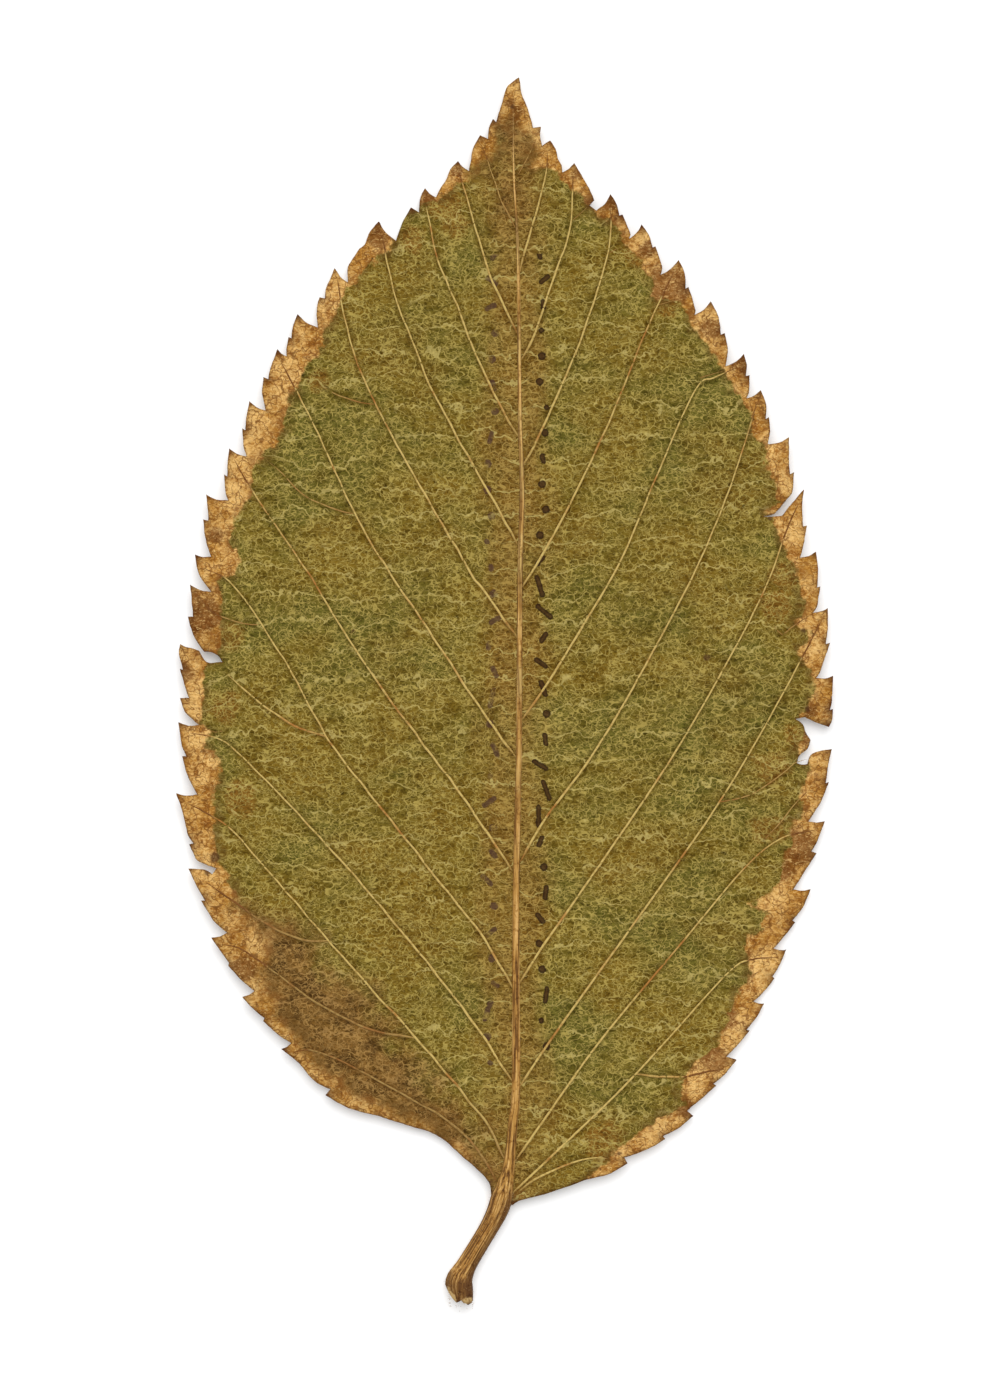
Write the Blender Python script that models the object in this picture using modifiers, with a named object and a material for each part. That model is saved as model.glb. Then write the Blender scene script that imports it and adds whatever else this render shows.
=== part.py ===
"""A pressed, dried elm leaf: its doubly toothed blade, raised veins, midrib and stalk as one piece.

The plan is drawn in millimetres on a sheet, x from the sheet's left edge and y down from its top edge.
The built leaf has its tip towards +Y, its veined underside up, and its bounding box centred on X and Y.
"""

import math
import random

import bmesh
import bpy
from mathutils import Matrix, Vector
from mathutils.geometry import delaunay_2d_cdt

MM = 0.001

# Driving dimensions, in millimetres
BLADE_THICKNESS = 0.6
RIDGE_HEIGHT = 0.35
RIDGE_HALF_WIDTH = 0.45
RIDGE_START = 1.6
RIDGE_CLEAR_OF_EDGE = 0.8
FOOT_CLEAR_OF_VEIN = 0.4
VEIN_STEP = 3.0
RUNG_HEIGHT = 0.12
RUNG_SPACING = 3.1
RUNG_STEP = 2.3
RUNG_WIGGLE = 0.4
RUNG_CLEAR_OF_VEIN = 0.85
RUNG_CLEAR_OF_OTHER_VEINS = 0.68
RUNG_CLEAR_OF_EDGE = 1.2
RUNG_SEED = 5
GRID_STEP = 2.7
GRID_CLEAR_OF_VEIN = 1.15
GRID_CLEAR_OF_EDGE = 0.9
EDGE_STEP = 1.1
FINE_STEPS = 8
SAME_POINT = 0.001
FLANK_BULGE = 0.09
STEM_STEP = 3.2
PLAN_CENTRE = (50.5, 69.2)

# The underside is flat for a third of the way out from the leaf's weight, and its edge curls up beyond
FLAT_CENTRE = (50.9, 67.5)
CURL_REACH = (27.0, 47.0)
CURL_START = 0.34
CURL_MEAN = 0.85
CURL_WAVES = ((2, 0.30, 0.4), (3, 0.22, -0.8), (5, 0.16, 1.0))
RIPPLE_HEIGHT = 0.14
RIPPLE_LENGTH = 11.0

# Kinds of edge point: a tooth's tip, a small tooth on its flank, a notch, and a point on a smooth run
TIP = "tip"
SIDE = "side"
NOTCH = "notch"
RUN = "run"

# The left edge from the leaf's tip to the stalk
LEFT_EDGE = [
    (51.9, 7.9, TIP), (50.8, 8.7, RUN), (50.2, 10.4, RUN), (49.6, 12.3, NOTCH), (49.3, 12.0, TIP),
    (48.8, 14.0, NOTCH), (48.0, 13.6, TIP), (47.3, 15.0, RUN), (46.9, 17.2, NOTCH), (45.8, 16.2, TIP),
    (44.6, 18.1, SIDE), (44.1, 18.8, RUN), (43.6, 19.8, NOTCH), (42.5, 18.9, TIP), (41.9, 21.3, NOTCH),
    (41.1, 20.8, TIP), (40.2, 22.4, RUN), (39.6, 24.1, NOTCH), (37.9, 22.2, TIP), (36.5, 24.5, SIDE),
    (35.6, 25.5, SIDE), (34.8, 26.8, RUN), (34.8, 28.3, NOTCH), (33.5, 26.9, TIP), (32.6, 29.0, RUN),
    (32.5, 29.9, NOTCH), (32.0, 29.8, SIDE), (31.7, 31.2, RUN), (31.8, 32.8, NOTCH), (29.8, 31.5, TIP),
    (29.3, 32.8, RUN), (29.2, 33.9, NOTCH), (28.9, 33.8, SIDE), (28.7, 35.0, RUN), (28.7, 35.7, NOTCH),
    (27.8, 35.0, TIP), (27.0, 37.2, RUN), (26.9, 38.0, NOTCH), (26.4, 37.8, SIDE), (26.3, 39.5, RUN),
    (26.6, 41.1, NOTCH), (25.0, 40.2, TIP), (24.7, 41.8, RUN), (24.6, 43.1, NOTCH), (24.3, 42.9, SIDE),
    (24.4, 44.6, RUN), (24.7, 45.7, NOTCH), (23.0, 44.9, TIP), (22.8, 46.9, RUN), (22.8, 47.7, NOTCH),
    (22.5, 47.5, SIDE), (22.6, 49.1, RUN), (22.9, 50.1, NOTCH), (20.7, 49.5, TIP), (20.9, 51.5, RUN),
    (20.9, 52.1, NOTCH), (20.4, 52.0, SIDE), (20.7, 54.3, RUN), (21.2, 55.7, NOTCH), (19.6, 55.5, TIP),
    (19.8, 56.9, RUN), (20.3, 58.0, RUN), (21.2, 59.2, NOTCH), (19.1, 58.5, TIP), (19.3, 60.4, RUN),
    (19.4, 61.7, NOTCH), (18.9, 61.7, SIDE), (19.5, 63.7, RUN), (20.5, 65.2, NOTCH), (21.9, 65.6, NOTCH),
    (22.3, 66.2, NOTCH), (21.1, 66.3, RUN), (20.5, 66.0, RUN), (20.0, 65.1, RUN), (19.2, 64.8, NOTCH),
    (18.1, 64.4, TIP),
    (18.0, 65.4, RUN), (18.4, 67.0, NOTCH), (18.1, 66.9, SIDE), (18.6, 68.7, RUN), (19.0, 69.8, NOTCH),
    (18.1, 69.8, TIP), (18.6, 71.2, RUN), (20.0, 72.5, NOTCH), (17.9, 72.2, TIP), (18.3, 74.6, RUN),
    (18.7, 75.6, NOTCH), (18.3, 75.6, SIDE), (18.9, 77.7, RUN), (19.8, 79.4, NOTCH), (17.7, 79.3, TIP),
    (18.4, 81.4, RUN), (18.9, 83.5, RUN), (19.4, 84.3, NOTCH), (19.0, 84.4, SIDE), (19.8, 86.0, RUN),
    (20.4, 86.3, RUN), (21.7, 86.8, NOTCH), (21.3, 87.4, NOTCH), (20.5, 86.9, RUN), (18.9, 86.8, TIP),
    (19.8, 88.6, RUN), (20.6, 90.0, NOTCH), (20.2, 90.0, SIDE), (21.6, 92.2, RUN), (22.8, 93.2, NOTCH),
    (21.2, 93.7, TIP), (22.1, 95.0, RUN), (23.0, 96.2, NOTCH), (22.9, 96.5, SIDE), (24.1, 97.8, RUN),
    (25.5, 99.0, NOTCH), (24.3, 99.6, TIP), (25.4, 100.8, RUN), (26.5, 101.7, NOTCH), (26.4, 102.0, SIDE),
    (27.9, 103.4, RUN), (29.2, 104.2, NOTCH), (28.2, 104.8, TIP), (29.8, 106.1, RUN), (30.5, 106.9, SIDE),
    (31.5, 108.0, RUN), (33.1, 108.8, NOTCH), (32.6, 109.4, TIP), (34.9, 110.7, RUN), (37.5, 111.4, RUN),
    (40.0, 112.2, RUN), (43.6, 113.4, RUN), (46.1, 115.4, RUN), (47.9, 117.0, RUN), (48.9, 118.1, RUN),
    (49.2, 119.3, RUN), (49.5, 120.4, NOTCH),
]

# The right edge from the leaf's tip to the stalk, with its torn slit and its missing bite
RIGHT_EDGE = [
    (51.9, 7.9, TIP), (52.2, 9.7, RUN), (52.6, 10.5, RUN), (53.3, 12.9, NOTCH), (54.1, 12.8, TIP),
    (54.0, 13.7, RUN), (54.2, 14.7, NOTCH), (55.0, 14.2, TIP), (55.8, 16.0, SIDE), (56.2, 17.4, NOTCH),
    (57.4, 16.4, TIP), (58.6, 18.5, RUN), (59.4, 20.2, RUN), (58.9, 20.7, NOTCH), (59.6, 21.2, NOTCH),
    (61.0, 19.6, TIP), (61.9, 21.7, NOTCH), (62.2, 21.6, SIDE), (63.0, 23.6, RUN), (62.9, 24.0, NOTCH),
    (64.1, 22.6, TIP), (65.2, 24.9, NOTCH), (65.5, 24.8, SIDE), (66.2, 27.0, RUN), (66.0, 27.6, NOTCH),
    (67.8, 26.1, TIP), (68.5, 29.0, NOTCH), (68.8, 28.8, SIDE), (69.5, 31.2, RUN), (69.4, 31.6, NOTCH),
    (71.0, 30.3, TIP), (72.0, 33.6, NOTCH), (72.4, 33.4, SIDE), (72.7, 35.3, RUN), (72.5, 36.7, NOTCH),
    (74.3, 35.5, TIP), (74.5, 37.7, NOTCH), (74.9, 37.6, SIDE), (74.8, 39.4, RUN), (74.6, 39.9, NOTCH),
    (76.0, 39.1, TIP), (76.5, 42.0, NOTCH), (76.8, 41.8, SIDE), (76.9, 43.2, RUN), (76.7, 44.5, NOTCH),
    (78.8, 43.8, TIP), (78.8, 46.0, RUN), (78.9, 47.5, NOTCH), (79.3, 47.3, SIDE), (79.1, 49.4, RUN),
    (78.4, 50.2, NOTCH), (77.4, 51.4, RUN), (76.3, 51.7, NOTCH), (78.1, 51.6, RUN), (79.0, 50.5, RUN),
    (80.3, 49.0, TIP), (80.1, 50.4, RUN), (80.2, 52.7, NOTCH), (80.6, 52.6, SIDE), (80.1, 55.2, RUN),
    (79.9, 55.8, NOTCH), (81.5, 55.2, TIP), (81.7, 57.2, RUN), (81.6, 58.8, NOTCH), (81.9, 58.7, SIDE),
    (81.6, 60.7, RUN), (81.2, 61.3, NOTCH), (82.7, 60.8, TIP), (82.7, 62.6, RUN), (82.5, 64.4, NOTCH),
    (82.9, 64.3, SIDE), (81.9, 67.2, RUN), (81.5, 67.8, NOTCH), (83.2, 67.6, TIP), (83.1, 70.0, RUN),
    (82.9, 71.0, NOTCH), (83.2, 70.9, SIDE), (82.8, 72.7, NOTCH), (81.2, 72.1, RUN), (80.4, 71.7, RUN),
    (79.5, 71.9, NOTCH), (80.2, 72.4, RUN), (80.5, 73.2, RUN), (81.0, 74.0, RUN), (80.7, 74.9, RUN),
    (79.9, 75.5, RUN), (79.6, 76.3, NOTCH), (80.7, 76.4, NOTCH), (80.9, 75.7, RUN), (81.5, 75.2, RUN),
    (83.1, 74.9, TIP), (82.7, 76.8, RUN), (82.5, 78.3, NOTCH), (82.8, 78.2, SIDE), (82.1, 80.0, RUN),
    (80.8, 82.1, NOTCH), (82.4, 82.1, TIP), (81.7, 84.0, RUN), (81.1, 85.1, NOTCH), (81.6, 85.3, SIDE),
    (80.1, 87.6, RUN), (79.3, 88.9, NOTCH), (81.0, 88.9, TIP), (80.2, 90.7, RUN), (79.2, 92.0, NOTCH),
    (79.5, 92.2, SIDE), (78.2, 93.8, RUN), (77.3, 94.8, NOTCH), (78.6, 94.9, TIP), (78.0, 96.3, RUN),
    (77.2, 97.6, NOTCH), (77.4, 97.8, SIDE), (76.4, 99.1, RUN), (75.3, 100.1, NOTCH), (76.4, 100.3, TIP),
    (75.5, 101.8, RUN), (74.6, 102.9, NOTCH), (74.9, 103.0, SIDE), (73.9, 104.2, RUN), (72.6, 105.6, NOTCH),
    (73.6, 105.9, TIP), (72.2, 107.6, RUN), (71.3, 108.3, NOTCH), (71.6, 108.5, SIDE), (70.2, 109.7, RUN),
    (68.7, 111.0, NOTCH), (69.3, 111.5, TIP), (67.7, 112.8, RUN), (66.3, 113.5, NOTCH), (66.5, 113.8, SIDE),
    (64.5, 114.9, RUN), (62.4, 115.6, NOTCH), (62.7, 116.2, TIP), (60.8, 117.3, RUN), (58.7, 117.8, RUN),
    (55.1, 119.1, RUN), (52.0, 119.9, RUN), (50.9, 120.8, NOTCH),
]

# Side veins, each from where it leaves the midrib, or another vein, out to its tooth
LEFT_VEINS = [
    [(51.7, 33.5), (50.1, 30.0), (48.8, 27.0), (47.9, 24.0), (46.7, 19.9), (45.9, 17.2)],
    [(51.9, 43.7), (49.7, 40.0), (47.1, 34.3), (46.0, 31.3), (43.8, 26.0), (42.6, 20.5)],
    [(51.8, 54.5), (49.7, 50.7), (46.0, 44.2), (42.8, 38.1), (40.9, 33.3), (39.5, 29.6), (38.2, 23.5)],
    [(51.8, 64.0), (48.3, 58.9), (46.3, 56.0), (37.3, 40.0), (34.7, 32.6), (33.7, 28.0)],
    [(51.6, 75.8), (47.6, 70.2), (43.4, 63.8), (39.7, 58.4), (35.5, 51.4), (31.4, 42.5), (28.2, 36.3)],
    [(51.2, 87.0), (46.0, 79.3), (40.8, 72.4), (35.7, 65.2), (30.8, 57.2), (26.6, 51.1), (24.3, 47.4),
     (23.5, 46.1)],
    [(51.5, 99.0), (48.3, 93.7), (46.0, 90.7), (36.0, 78.1), (32.7, 73.7), (28.8, 66.6), (23.6, 58.8),
     (20.6, 56.9)],
    [(32.7, 73.7), (29.5, 72.6), (26.2, 70.4), (22.8, 67.4)],
    [(51.2, 108.0), (46.0, 100.4), (36.0, 88.1), (29.4, 80.9), (24.0, 75.4), (22.1, 73.9), (19.1, 73.3)],
    [(50.5, 116.0), (48.5, 112.0), (43.9, 106.4), (40.5, 102.5), (33.7, 94.9), (27.7, 88.0), (22.8, 82.6),
     (18.9, 80.4)],
    [(41.5, 103.7), (37.2, 102.9), (32.1, 100.4), (27.9, 97.4), (24.5, 95.0), (22.2, 94.4)],
    [(33.0, 94.0), (30.2, 93.9), (26.6, 92.3), (24.5, 90.8), (20.7, 88.2)],
    [(49.6, 118.0), (48.1, 115.4), (44.9, 112.0), (38.5, 108.3), (34.2, 106.0), (31.1, 104.9),
     (29.3, 105.2)],
]
RIGHT_VEINS = [
    [(51.9, 27.5), (52.4, 25.5), (53.2, 22.8), (54.0, 19.9), (54.6, 17.4), (54.7, 15.4)],
    [(52.0, 36.2), (53.5, 33.4), (55.5, 27.4), (56.7, 24.2), (57.2, 21.0), (57.3, 17.6)],
    [(52.0, 47.0), (53.3, 44.8), (55.5, 40.1), (58.0, 34.2), (60.3, 27.2), (61.0, 24.0), (61.0, 21.0)],
    [(52.0, 59.0), (53.8, 56.2), (56.7, 51.0), (61.0, 42.0), (63.8, 35.0), (65.9, 30.3), (67.4, 27.2)],
    [(52.0, 72.2), (54.5, 68.7), (58.4, 62.4), (62.1, 56.0), (65.5, 48.0), (69.4, 39.2), (71.3, 37.9),
     (73.6, 36.9)],
    [(52.0, 86.2), (54.5, 81.9), (58.9, 76.0), (63.1, 69.1), (68.8, 58.5), (72.1, 51.0), (74.2, 45.0),
     (75.6, 40.4)],
    [(51.8, 98.5), (54.4, 94.4), (58.0, 89.3), (67.0, 76.0), (73.5, 64.7), (76.8, 58.0), (78.6, 53.0),
     (79.8, 50.4)],
    [(52.0, 108.5), (56.2, 102.3), (68.0, 85.9), (72.4, 79.4), (76.2, 73.0), (80.0, 66.0), (82.2, 61.8)],
    [(71.5, 80.8), (76.1, 79.2), (79.5, 77.1), (82.3, 75.8)],
    [(51.5, 116.0), (54.3, 112.0), (60.0, 104.0), (68.0, 94.4), (74.5, 86.7), (78.1, 83.8), (81.4, 83.0)],
    [(51.2, 119.2), (56.5, 114.2), (61.7, 109.2), (66.4, 104.2), (72.8, 97.2), (75.1, 95.9), (77.7, 95.7)],
    [(63.4, 107.3), (67.9, 107.6), (71.0, 107.0), (72.6, 106.8)],
    [(51.9, 119.0), (53.8, 117.6), (58.3, 115.8), (60.9, 115.7)],
]

# The midrib and stalk as one tapering rod from near the tip down to the broken foot: x, y, diameter
STEM = [
    (51.3, 11.0, 0.42), (51.4, 17.9, 0.46), (51.8, 26.0, 0.50), (52.0, 42.0, 0.58), (52.2, 49.0, 0.62),
    (52.0, 58.0, 0.66), (51.9, 74.0, 0.72), (51.6, 90.0, 0.80), (51.6, 108.0, 0.95), (51.3, 112.0, 1.05),
    (50.9, 116.0, 1.25), (50.5, 118.3, 1.6), (49.9, 120.6, 2.0), (48.9, 122.7, 1.85), (47.6, 124.9, 1.8),
    (46.6, 126.6, 1.95), (45.95, 128.2, 2.55), (46.2, 129.4, 2.3), (46.35, 130.3, 1.6),
]
STALK_FROM_Y = 119.0
STALK_SINK = 0.2
STALK_CLEARANCE = 0.1

LEAF_COLOUR = (0.205, 0.165, 0.05, 1.0)
LEAF_ROUGHNESS = 0.72


def clear_scene():
    for item in list(bpy.data.objects):
        bpy.data.objects.remove(item, do_unlink=True)


def new_collection(name):
    collection = bpy.data.collections.new(name)
    bpy.context.scene.collection.children.link(collection)
    return collection


def catmull_rom(before, start, end, after, share):
    """A point on the smooth span from start to end."""
    return 0.5 * (
        2 * start
        + (end - before) * share
        + (2 * before - 5 * start + 4 * end - after) * share**2
        + (3 * start - before - 3 * end + after) * share**3
    )


def smooth_line(points, step):
    """Points about a step apart on a smooth curve through the given points."""
    line = [points[0]]
    for i in range(len(points) - 1):
        before = points[max(i - 1, 0)]
        after = points[min(i + 2, len(points) - 1)]
        start, end = points[i], points[i + 1]
        count = max(1, round((end - start).length / step))
        line += [catmull_rom(before, start, end, after, (k + 1) / count) for k in range(count)]
    return line


def even_line(points, step):
    """The smooth curve through the points, cut into equal lengths of about a step."""
    fine = smooth_line(points, step / FINE_STEPS)
    lengths = [0.0]
    for a, b in zip(fine, fine[1:]):
        lengths.append(lengths[-1] + (b - a).length)
    count = max(1, round(lengths[-1] / step))
    line = []
    i = 0
    for k in range(count + 1):
        target = lengths[-1] * k / count
        while i < len(fine) - 2 and lengths[i + 1] < target:
            i += 1
        span = max(lengths[i + 1] - lengths[i], 1e-9)
        line.append(fine[i].lerp(fine[i + 1], min(1.0, (target - lengths[i]) / span)))
    return line


def flank(start, end, outward):
    """A tooth's flank between two sharp points, bowed out, or in where outward is negative."""
    along = end - start
    if along.length < EDGE_STEP:
        return [end]
    side = Vector((along.y, -along.x)) * FLANK_BULGE * outward
    return [start.lerp(end, 0.5) + side, end]


def edge_line(edge, outward):
    """The edge's points with smooth runs and bowed flanks between its sharp points."""
    line = [Vector(edge[0][:2])]
    run = [line[0]]
    start_kind = edge[0][2]
    for x, y, kind in edge[1:]:
        run.append(Vector((x, y)))
        if kind == RUN:
            continue
        if len(run) > 2:
            line += smooth_line(run, EDGE_STEP)[1:]
        else:
            bow = -outward if start_kind == NOTCH else outward
            line += flank(run[0], run[1], bow)
        run = [run[-1]]
        start_kind = kind
    return line


def blade_outline():
    """The closed outline of the blade, down the left edge and back up the right one."""
    left = edge_line(LEFT_EDGE, -1)
    right = edge_line(RIGHT_EDGE, 1)
    return left + right[:0:-1]


def vein_line(points, closed_outline):
    """A vein's line, which stops short of the blade's edge."""
    line = even_line([Vector(point) for point in points], VEIN_STEP)
    while distance_to(line[-1], [closed_outline]) < RIDGE_CLEAR_OF_EDGE:
        line.pop()
    return line


def foot_lines(line, other_veins):
    """The foot lines of a vein's ridge, broken off where they come near another vein."""
    feet = []
    for side in (-1, 1):
        run = []
        for i in range(1, len(line) - 1):
            along = (line[i + 1] - line[i - 1]).normalized()
            foot = line[i] + Vector((-along.y, along.x)) * RIDGE_HALF_WIDTH * side
            clear = (line[i] - line[0]).length > RIDGE_START
            if clear and distance_to(foot, other_veins) > FOOT_CLEAR_OF_VEIN:
                run.append(foot)
            elif run:
                feet.append(run)
                run = []
        if run:
            feet.append(run)
    return feet


def crossings(level, lines):
    """Where lines cross a level of the sheet, from left to right."""
    found = []
    for line in lines:
        for a, b in zip(line, line[1:]):
            if (a.y > level) != (b.y > level):
                found.append(a.x + (level - a.y) * (b.x - a.x) / (b.y - a.y))
    return sorted(found)


def rungs(veins, midrib, closed_outline):
    """The low cross veins that join neighbouring side veins like the rungs of a ladder."""
    draw = random.Random(RUNG_SEED)
    low = min(point.y for point in closed_outline)
    high = max(point.y for point in closed_outline)
    lines = []
    for row in range(1, int((high - low) / RUNG_SPACING)):
        level = low + row * RUNG_SPACING
        stops = crossings(level, veins + [midrib, closed_outline])
        for left, right in zip(stops, stops[1:]):
            lift = draw.uniform(-0.5, 0.5) * RUNG_WIGGLE
            start = left + RUNG_CLEAR_OF_VEIN
            length = right - RUNG_CLEAR_OF_VEIN - start
            count = max(1, round(length / RUNG_STEP))
            line = []
            for i in range(count + 1):
                sway = draw.uniform(-1, 1) * RUNG_WIGGLE
                line.append(Vector((start + length * i / count, level + lift + sway)))
            clear = distance_to_all(line, veins + [midrib]) > RUNG_CLEAR_OF_OTHER_VEINS
            clear = clear and distance_to_all(line, [closed_outline]) > RUNG_CLEAR_OF_EDGE
            if clear and length > RUNG_STEP:
                lines.append(line)
    return lines


def distance_to_all(points, lines):
    """The least distance from some points to the nearest of some polylines."""
    return min(distance_to(point, lines) for point in points)


def distance_to(point, lines):
    """The distance from a point to the nearest of some polylines."""
    best = 1e9
    for line in lines:
        for a, b in zip(line, line[1:]):
            span = b - a
            share = max(0.0, min(1.0, (point - a).dot(span) / span.length_squared))
            best = min(best, (point - a - span * share).length)
    return best


def inside(point, outline):
    """Whether a point lies within the closed outline."""
    within = False
    for a, b in zip(outline, outline[1:] + outline[:1]):
        if (a.y > point.y) != (b.y > point.y):
            crossing = a.x + (point.y - a.y) * (b.x - a.x) / (b.y - a.y)
            if point.x < crossing:
                within = not within
    return within


def grid_points(outline, lines):
    """Points of a staggered grid between the veins, clear of them and of the edge."""
    low = Vector((min(p.x for p in outline), min(p.y for p in outline)))
    high = Vector((max(p.x for p in outline), max(p.y for p in outline)))
    closed = outline + outline[:1]
    points = []
    for row in range(int((high.y - low.y) / GRID_STEP) + 1):
        shift = 0.5 * (row % 2)
        for column in range(int((high.x - low.x) / GRID_STEP) + 1):
            point = low + Vector((column + shift, row)) * GRID_STEP
            if not inside(point, outline) or distance_to(point, [closed]) < GRID_CLEAR_OF_EDGE:
                continue
            if distance_to(point, lines) > GRID_CLEAR_OF_VEIN:
                points.append(point)
    return points


def underside_height(x, y):
    """The height of the blade's underside over the surface that it lies on."""
    across = (x - FLAT_CENTRE[0]) / CURL_REACH[0]
    along = (FLAT_CENTRE[1] - y) / CURL_REACH[1]
    reach = math.hypot(across, along)
    share = max(0.0, min(1.0, (reach - CURL_START) / (1.0 - CURL_START)))
    rise = share * share * (3 - 2 * share)
    angle = math.atan2(along, across)
    curl = CURL_MEAN + sum(size * math.sin(count * angle + phase) for count, size, phase in CURL_WAVES)
    ripple = RIPPLE_HEIGHT * (1 + math.sin(2 * math.pi * y / RIPPLE_LENGTH + 2 * angle))
    return rise * (curl + ripple)


def placed(x, y, height):
    """A point of the sheet at a height, in the part's own frame."""
    return Vector((x - PLAN_CENTRE[0], PLAN_CENTRE[1] - y, height)) * MM


def blade(collection, material):
    """The blade: its plan cut into triangles along the edge and veins, waved, then thickened upwards."""
    outline = blade_outline()
    closed = outline + outline[:1]
    midrib = [Vector(station[:2]) for station in STEM]
    veins = [vein_line(vein, closed) for vein in LEFT_VEINS + RIGHT_VEINS]
    feet = []
    for vein in veins:
        feet += foot_lines(vein, [other for other in veins if other is not vein])
    cross_veins = rungs(veins, midrib, closed)
    points = list(outline)
    edges = [(i, (i + 1) % len(outline)) for i in range(len(outline))]
    rises = [0.0] * len(outline)
    for lines, rise in ((veins, RIDGE_HEIGHT), (feet, 0.0), (cross_veins, RUNG_HEIGHT)):
        for line in lines:
            edges += [(len(points) + i, len(points) + i + 1) for i in range(len(line) - 1)]
            points += line
            rises += [rise] * len(line)
    points += grid_points(outline, veins + feet + cross_veins)
    rises += [0.0] * (len(points) - len(rises))
    boundary = [list(range(len(outline)))]
    flat, _, faces, origins, _, _ = delaunay_2d_cdt(points, edges, boundary, 1, SAME_POINT)

    mesh = bpy.data.meshes.new("leaf")
    mesh.from_pydata([placed(p.x, p.y, underside_height(p.x, p.y)) for p in flat], [], faces)
    surface = bmesh.new()
    surface.from_mesh(mesh)
    bmesh.ops.recalc_face_normals(surface, faces=surface.faces)
    if sum(face.normal.z for face in surface.faces) < 0:
        bmesh.ops.reverse_faces(surface, faces=surface.faces)
    surface.to_mesh(mesh)
    surface.free()

    leaf = bpy.data.objects.new("leaf", mesh)
    collection.objects.link(leaf)
    mesh.materials.append(material)
    depth = leaf.vertex_groups.new(name="depth")
    full = BLADE_THICKNESS + RIDGE_HEIGHT
    for i, drawn_points in enumerate(origins):
        rise = max((rises[k] for k in drawn_points), default=0.0)
        depth.add([i], (BLADE_THICKNESS + rise) / full, "REPLACE")
    thicken = leaf.modifiers.new("thicken", "SOLIDIFY")
    thicken.thickness = full * MM
    thicken.offset = 1.0
    thicken.vertex_group = depth.name
    return leaf


def stem_height(x, y, diameter):
    """The height of the rod's centre line: on the blade's face, with the stalk clear of the surface."""
    on_blade = underside_height(x, y) + BLADE_THICKNESS
    if y < STALK_FROM_Y:
        return on_blade
    return max(on_blade - STALK_SINK, diameter / 2 + STALK_CLEARANCE)


def stem(collection):
    """The midrib and stalk, a bevelled curve turned into a closed mesh."""
    line = smooth_line([Vector(station) for station in STEM], STEM_STEP)
    curve = bpy.data.curves.new("stem", "CURVE")
    curve.dimensions = "3D"
    curve.bevel_depth = 1.0 * MM
    curve.bevel_resolution = 2
    curve.use_fill_caps = True
    spline = curve.splines.new("POLY")
    spline.points.add(len(line) - 1)
    for point, (x, y, diameter) in zip(spline.points, line):
        point.co = (*placed(x, y, stem_height(x, y, diameter)), 1.0)
        point.radius = diameter / 2
    rod = bpy.data.objects.new("stem_curve", curve)
    collection.objects.link(rod)
    mesh = bpy.data.meshes.new_from_object(rod.evaluated_get(bpy.context.evaluated_depsgraph_get()))
    closed = bmesh.new()
    closed.from_mesh(mesh)
    bmesh.ops.remove_doubles(closed, verts=closed.verts, dist=1e-6)
    closed.to_mesh(mesh)
    closed.free()
    solid = bpy.data.objects.new("stem", mesh)
    solid.matrix_world = rod.matrix_world
    collection.objects.link(solid)
    bpy.data.objects.remove(rod, do_unlink=True)
    return solid


def join(leaf, rod):
    """Joins the rod to the blade as one body and applies the modifiers."""
    union = leaf.modifiers.new("join_stem", "BOOLEAN")
    union.operation = "UNION"
    union.object = rod
    joined = bpy.data.meshes.new_from_object(leaf.evaluated_get(bpy.context.evaluated_depsgraph_get()))
    leaf.modifiers.clear()
    leaf.vertex_groups.clear()
    leaf.data = joined
    bpy.data.objects.remove(rod, do_unlink=True)


def centre(leaf):
    """Moves the mesh so that the leaf's box is centred on X and Y and stands on Z = 0."""
    low = Vector([min(v.co[axis] for v in leaf.data.vertices) for axis in range(3)])
    high = Vector([max(v.co[axis] for v in leaf.data.vertices) for axis in range(3)])
    middle = (low + high) / 2
    leaf.data.transform(Matrix.Translation((-middle.x, -middle.y, -low.z)))


def leaf_material():
    material = bpy.data.materials.new("dry_leaf")
    material.use_nodes = True
    shader = material.node_tree.nodes["Principled BSDF"]
    shader.inputs["Base Color"].default_value = LEAF_COLOUR
    shader.inputs["Roughness"].default_value = LEAF_ROUGHNESS
    shader.inputs["Metallic"].default_value = 0.0
    return material


def main():
    clear_scene()
    parts = new_collection("elm_leaf")
    leaf = blade(parts, leaf_material())
    rod = stem(parts)
    join(leaf, rod)
    centre(leaf)
    leaf.data.name = "leaf"


main()
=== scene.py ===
"""The looks of the pressed elm leaf: a netted blade, its veins, its stalk with a broken foot, and fine hairs.

Lengths are in millimetres and become metres where a mesh is made. The plan of the veins is drawn on a sheet,
x from the sheet's left edge and y down from its top edge. It is laid over the solid by the leaf's tip and by
its leftmost tooth.
"""

import math
import random

import bmesh
import bpy
import numpy as np
from mathutils import Matrix, Vector, kdtree, noise
from mathutils.bvhtree import BVHTree
from mathutils.geometry import delaunay_2d_cdt


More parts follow.
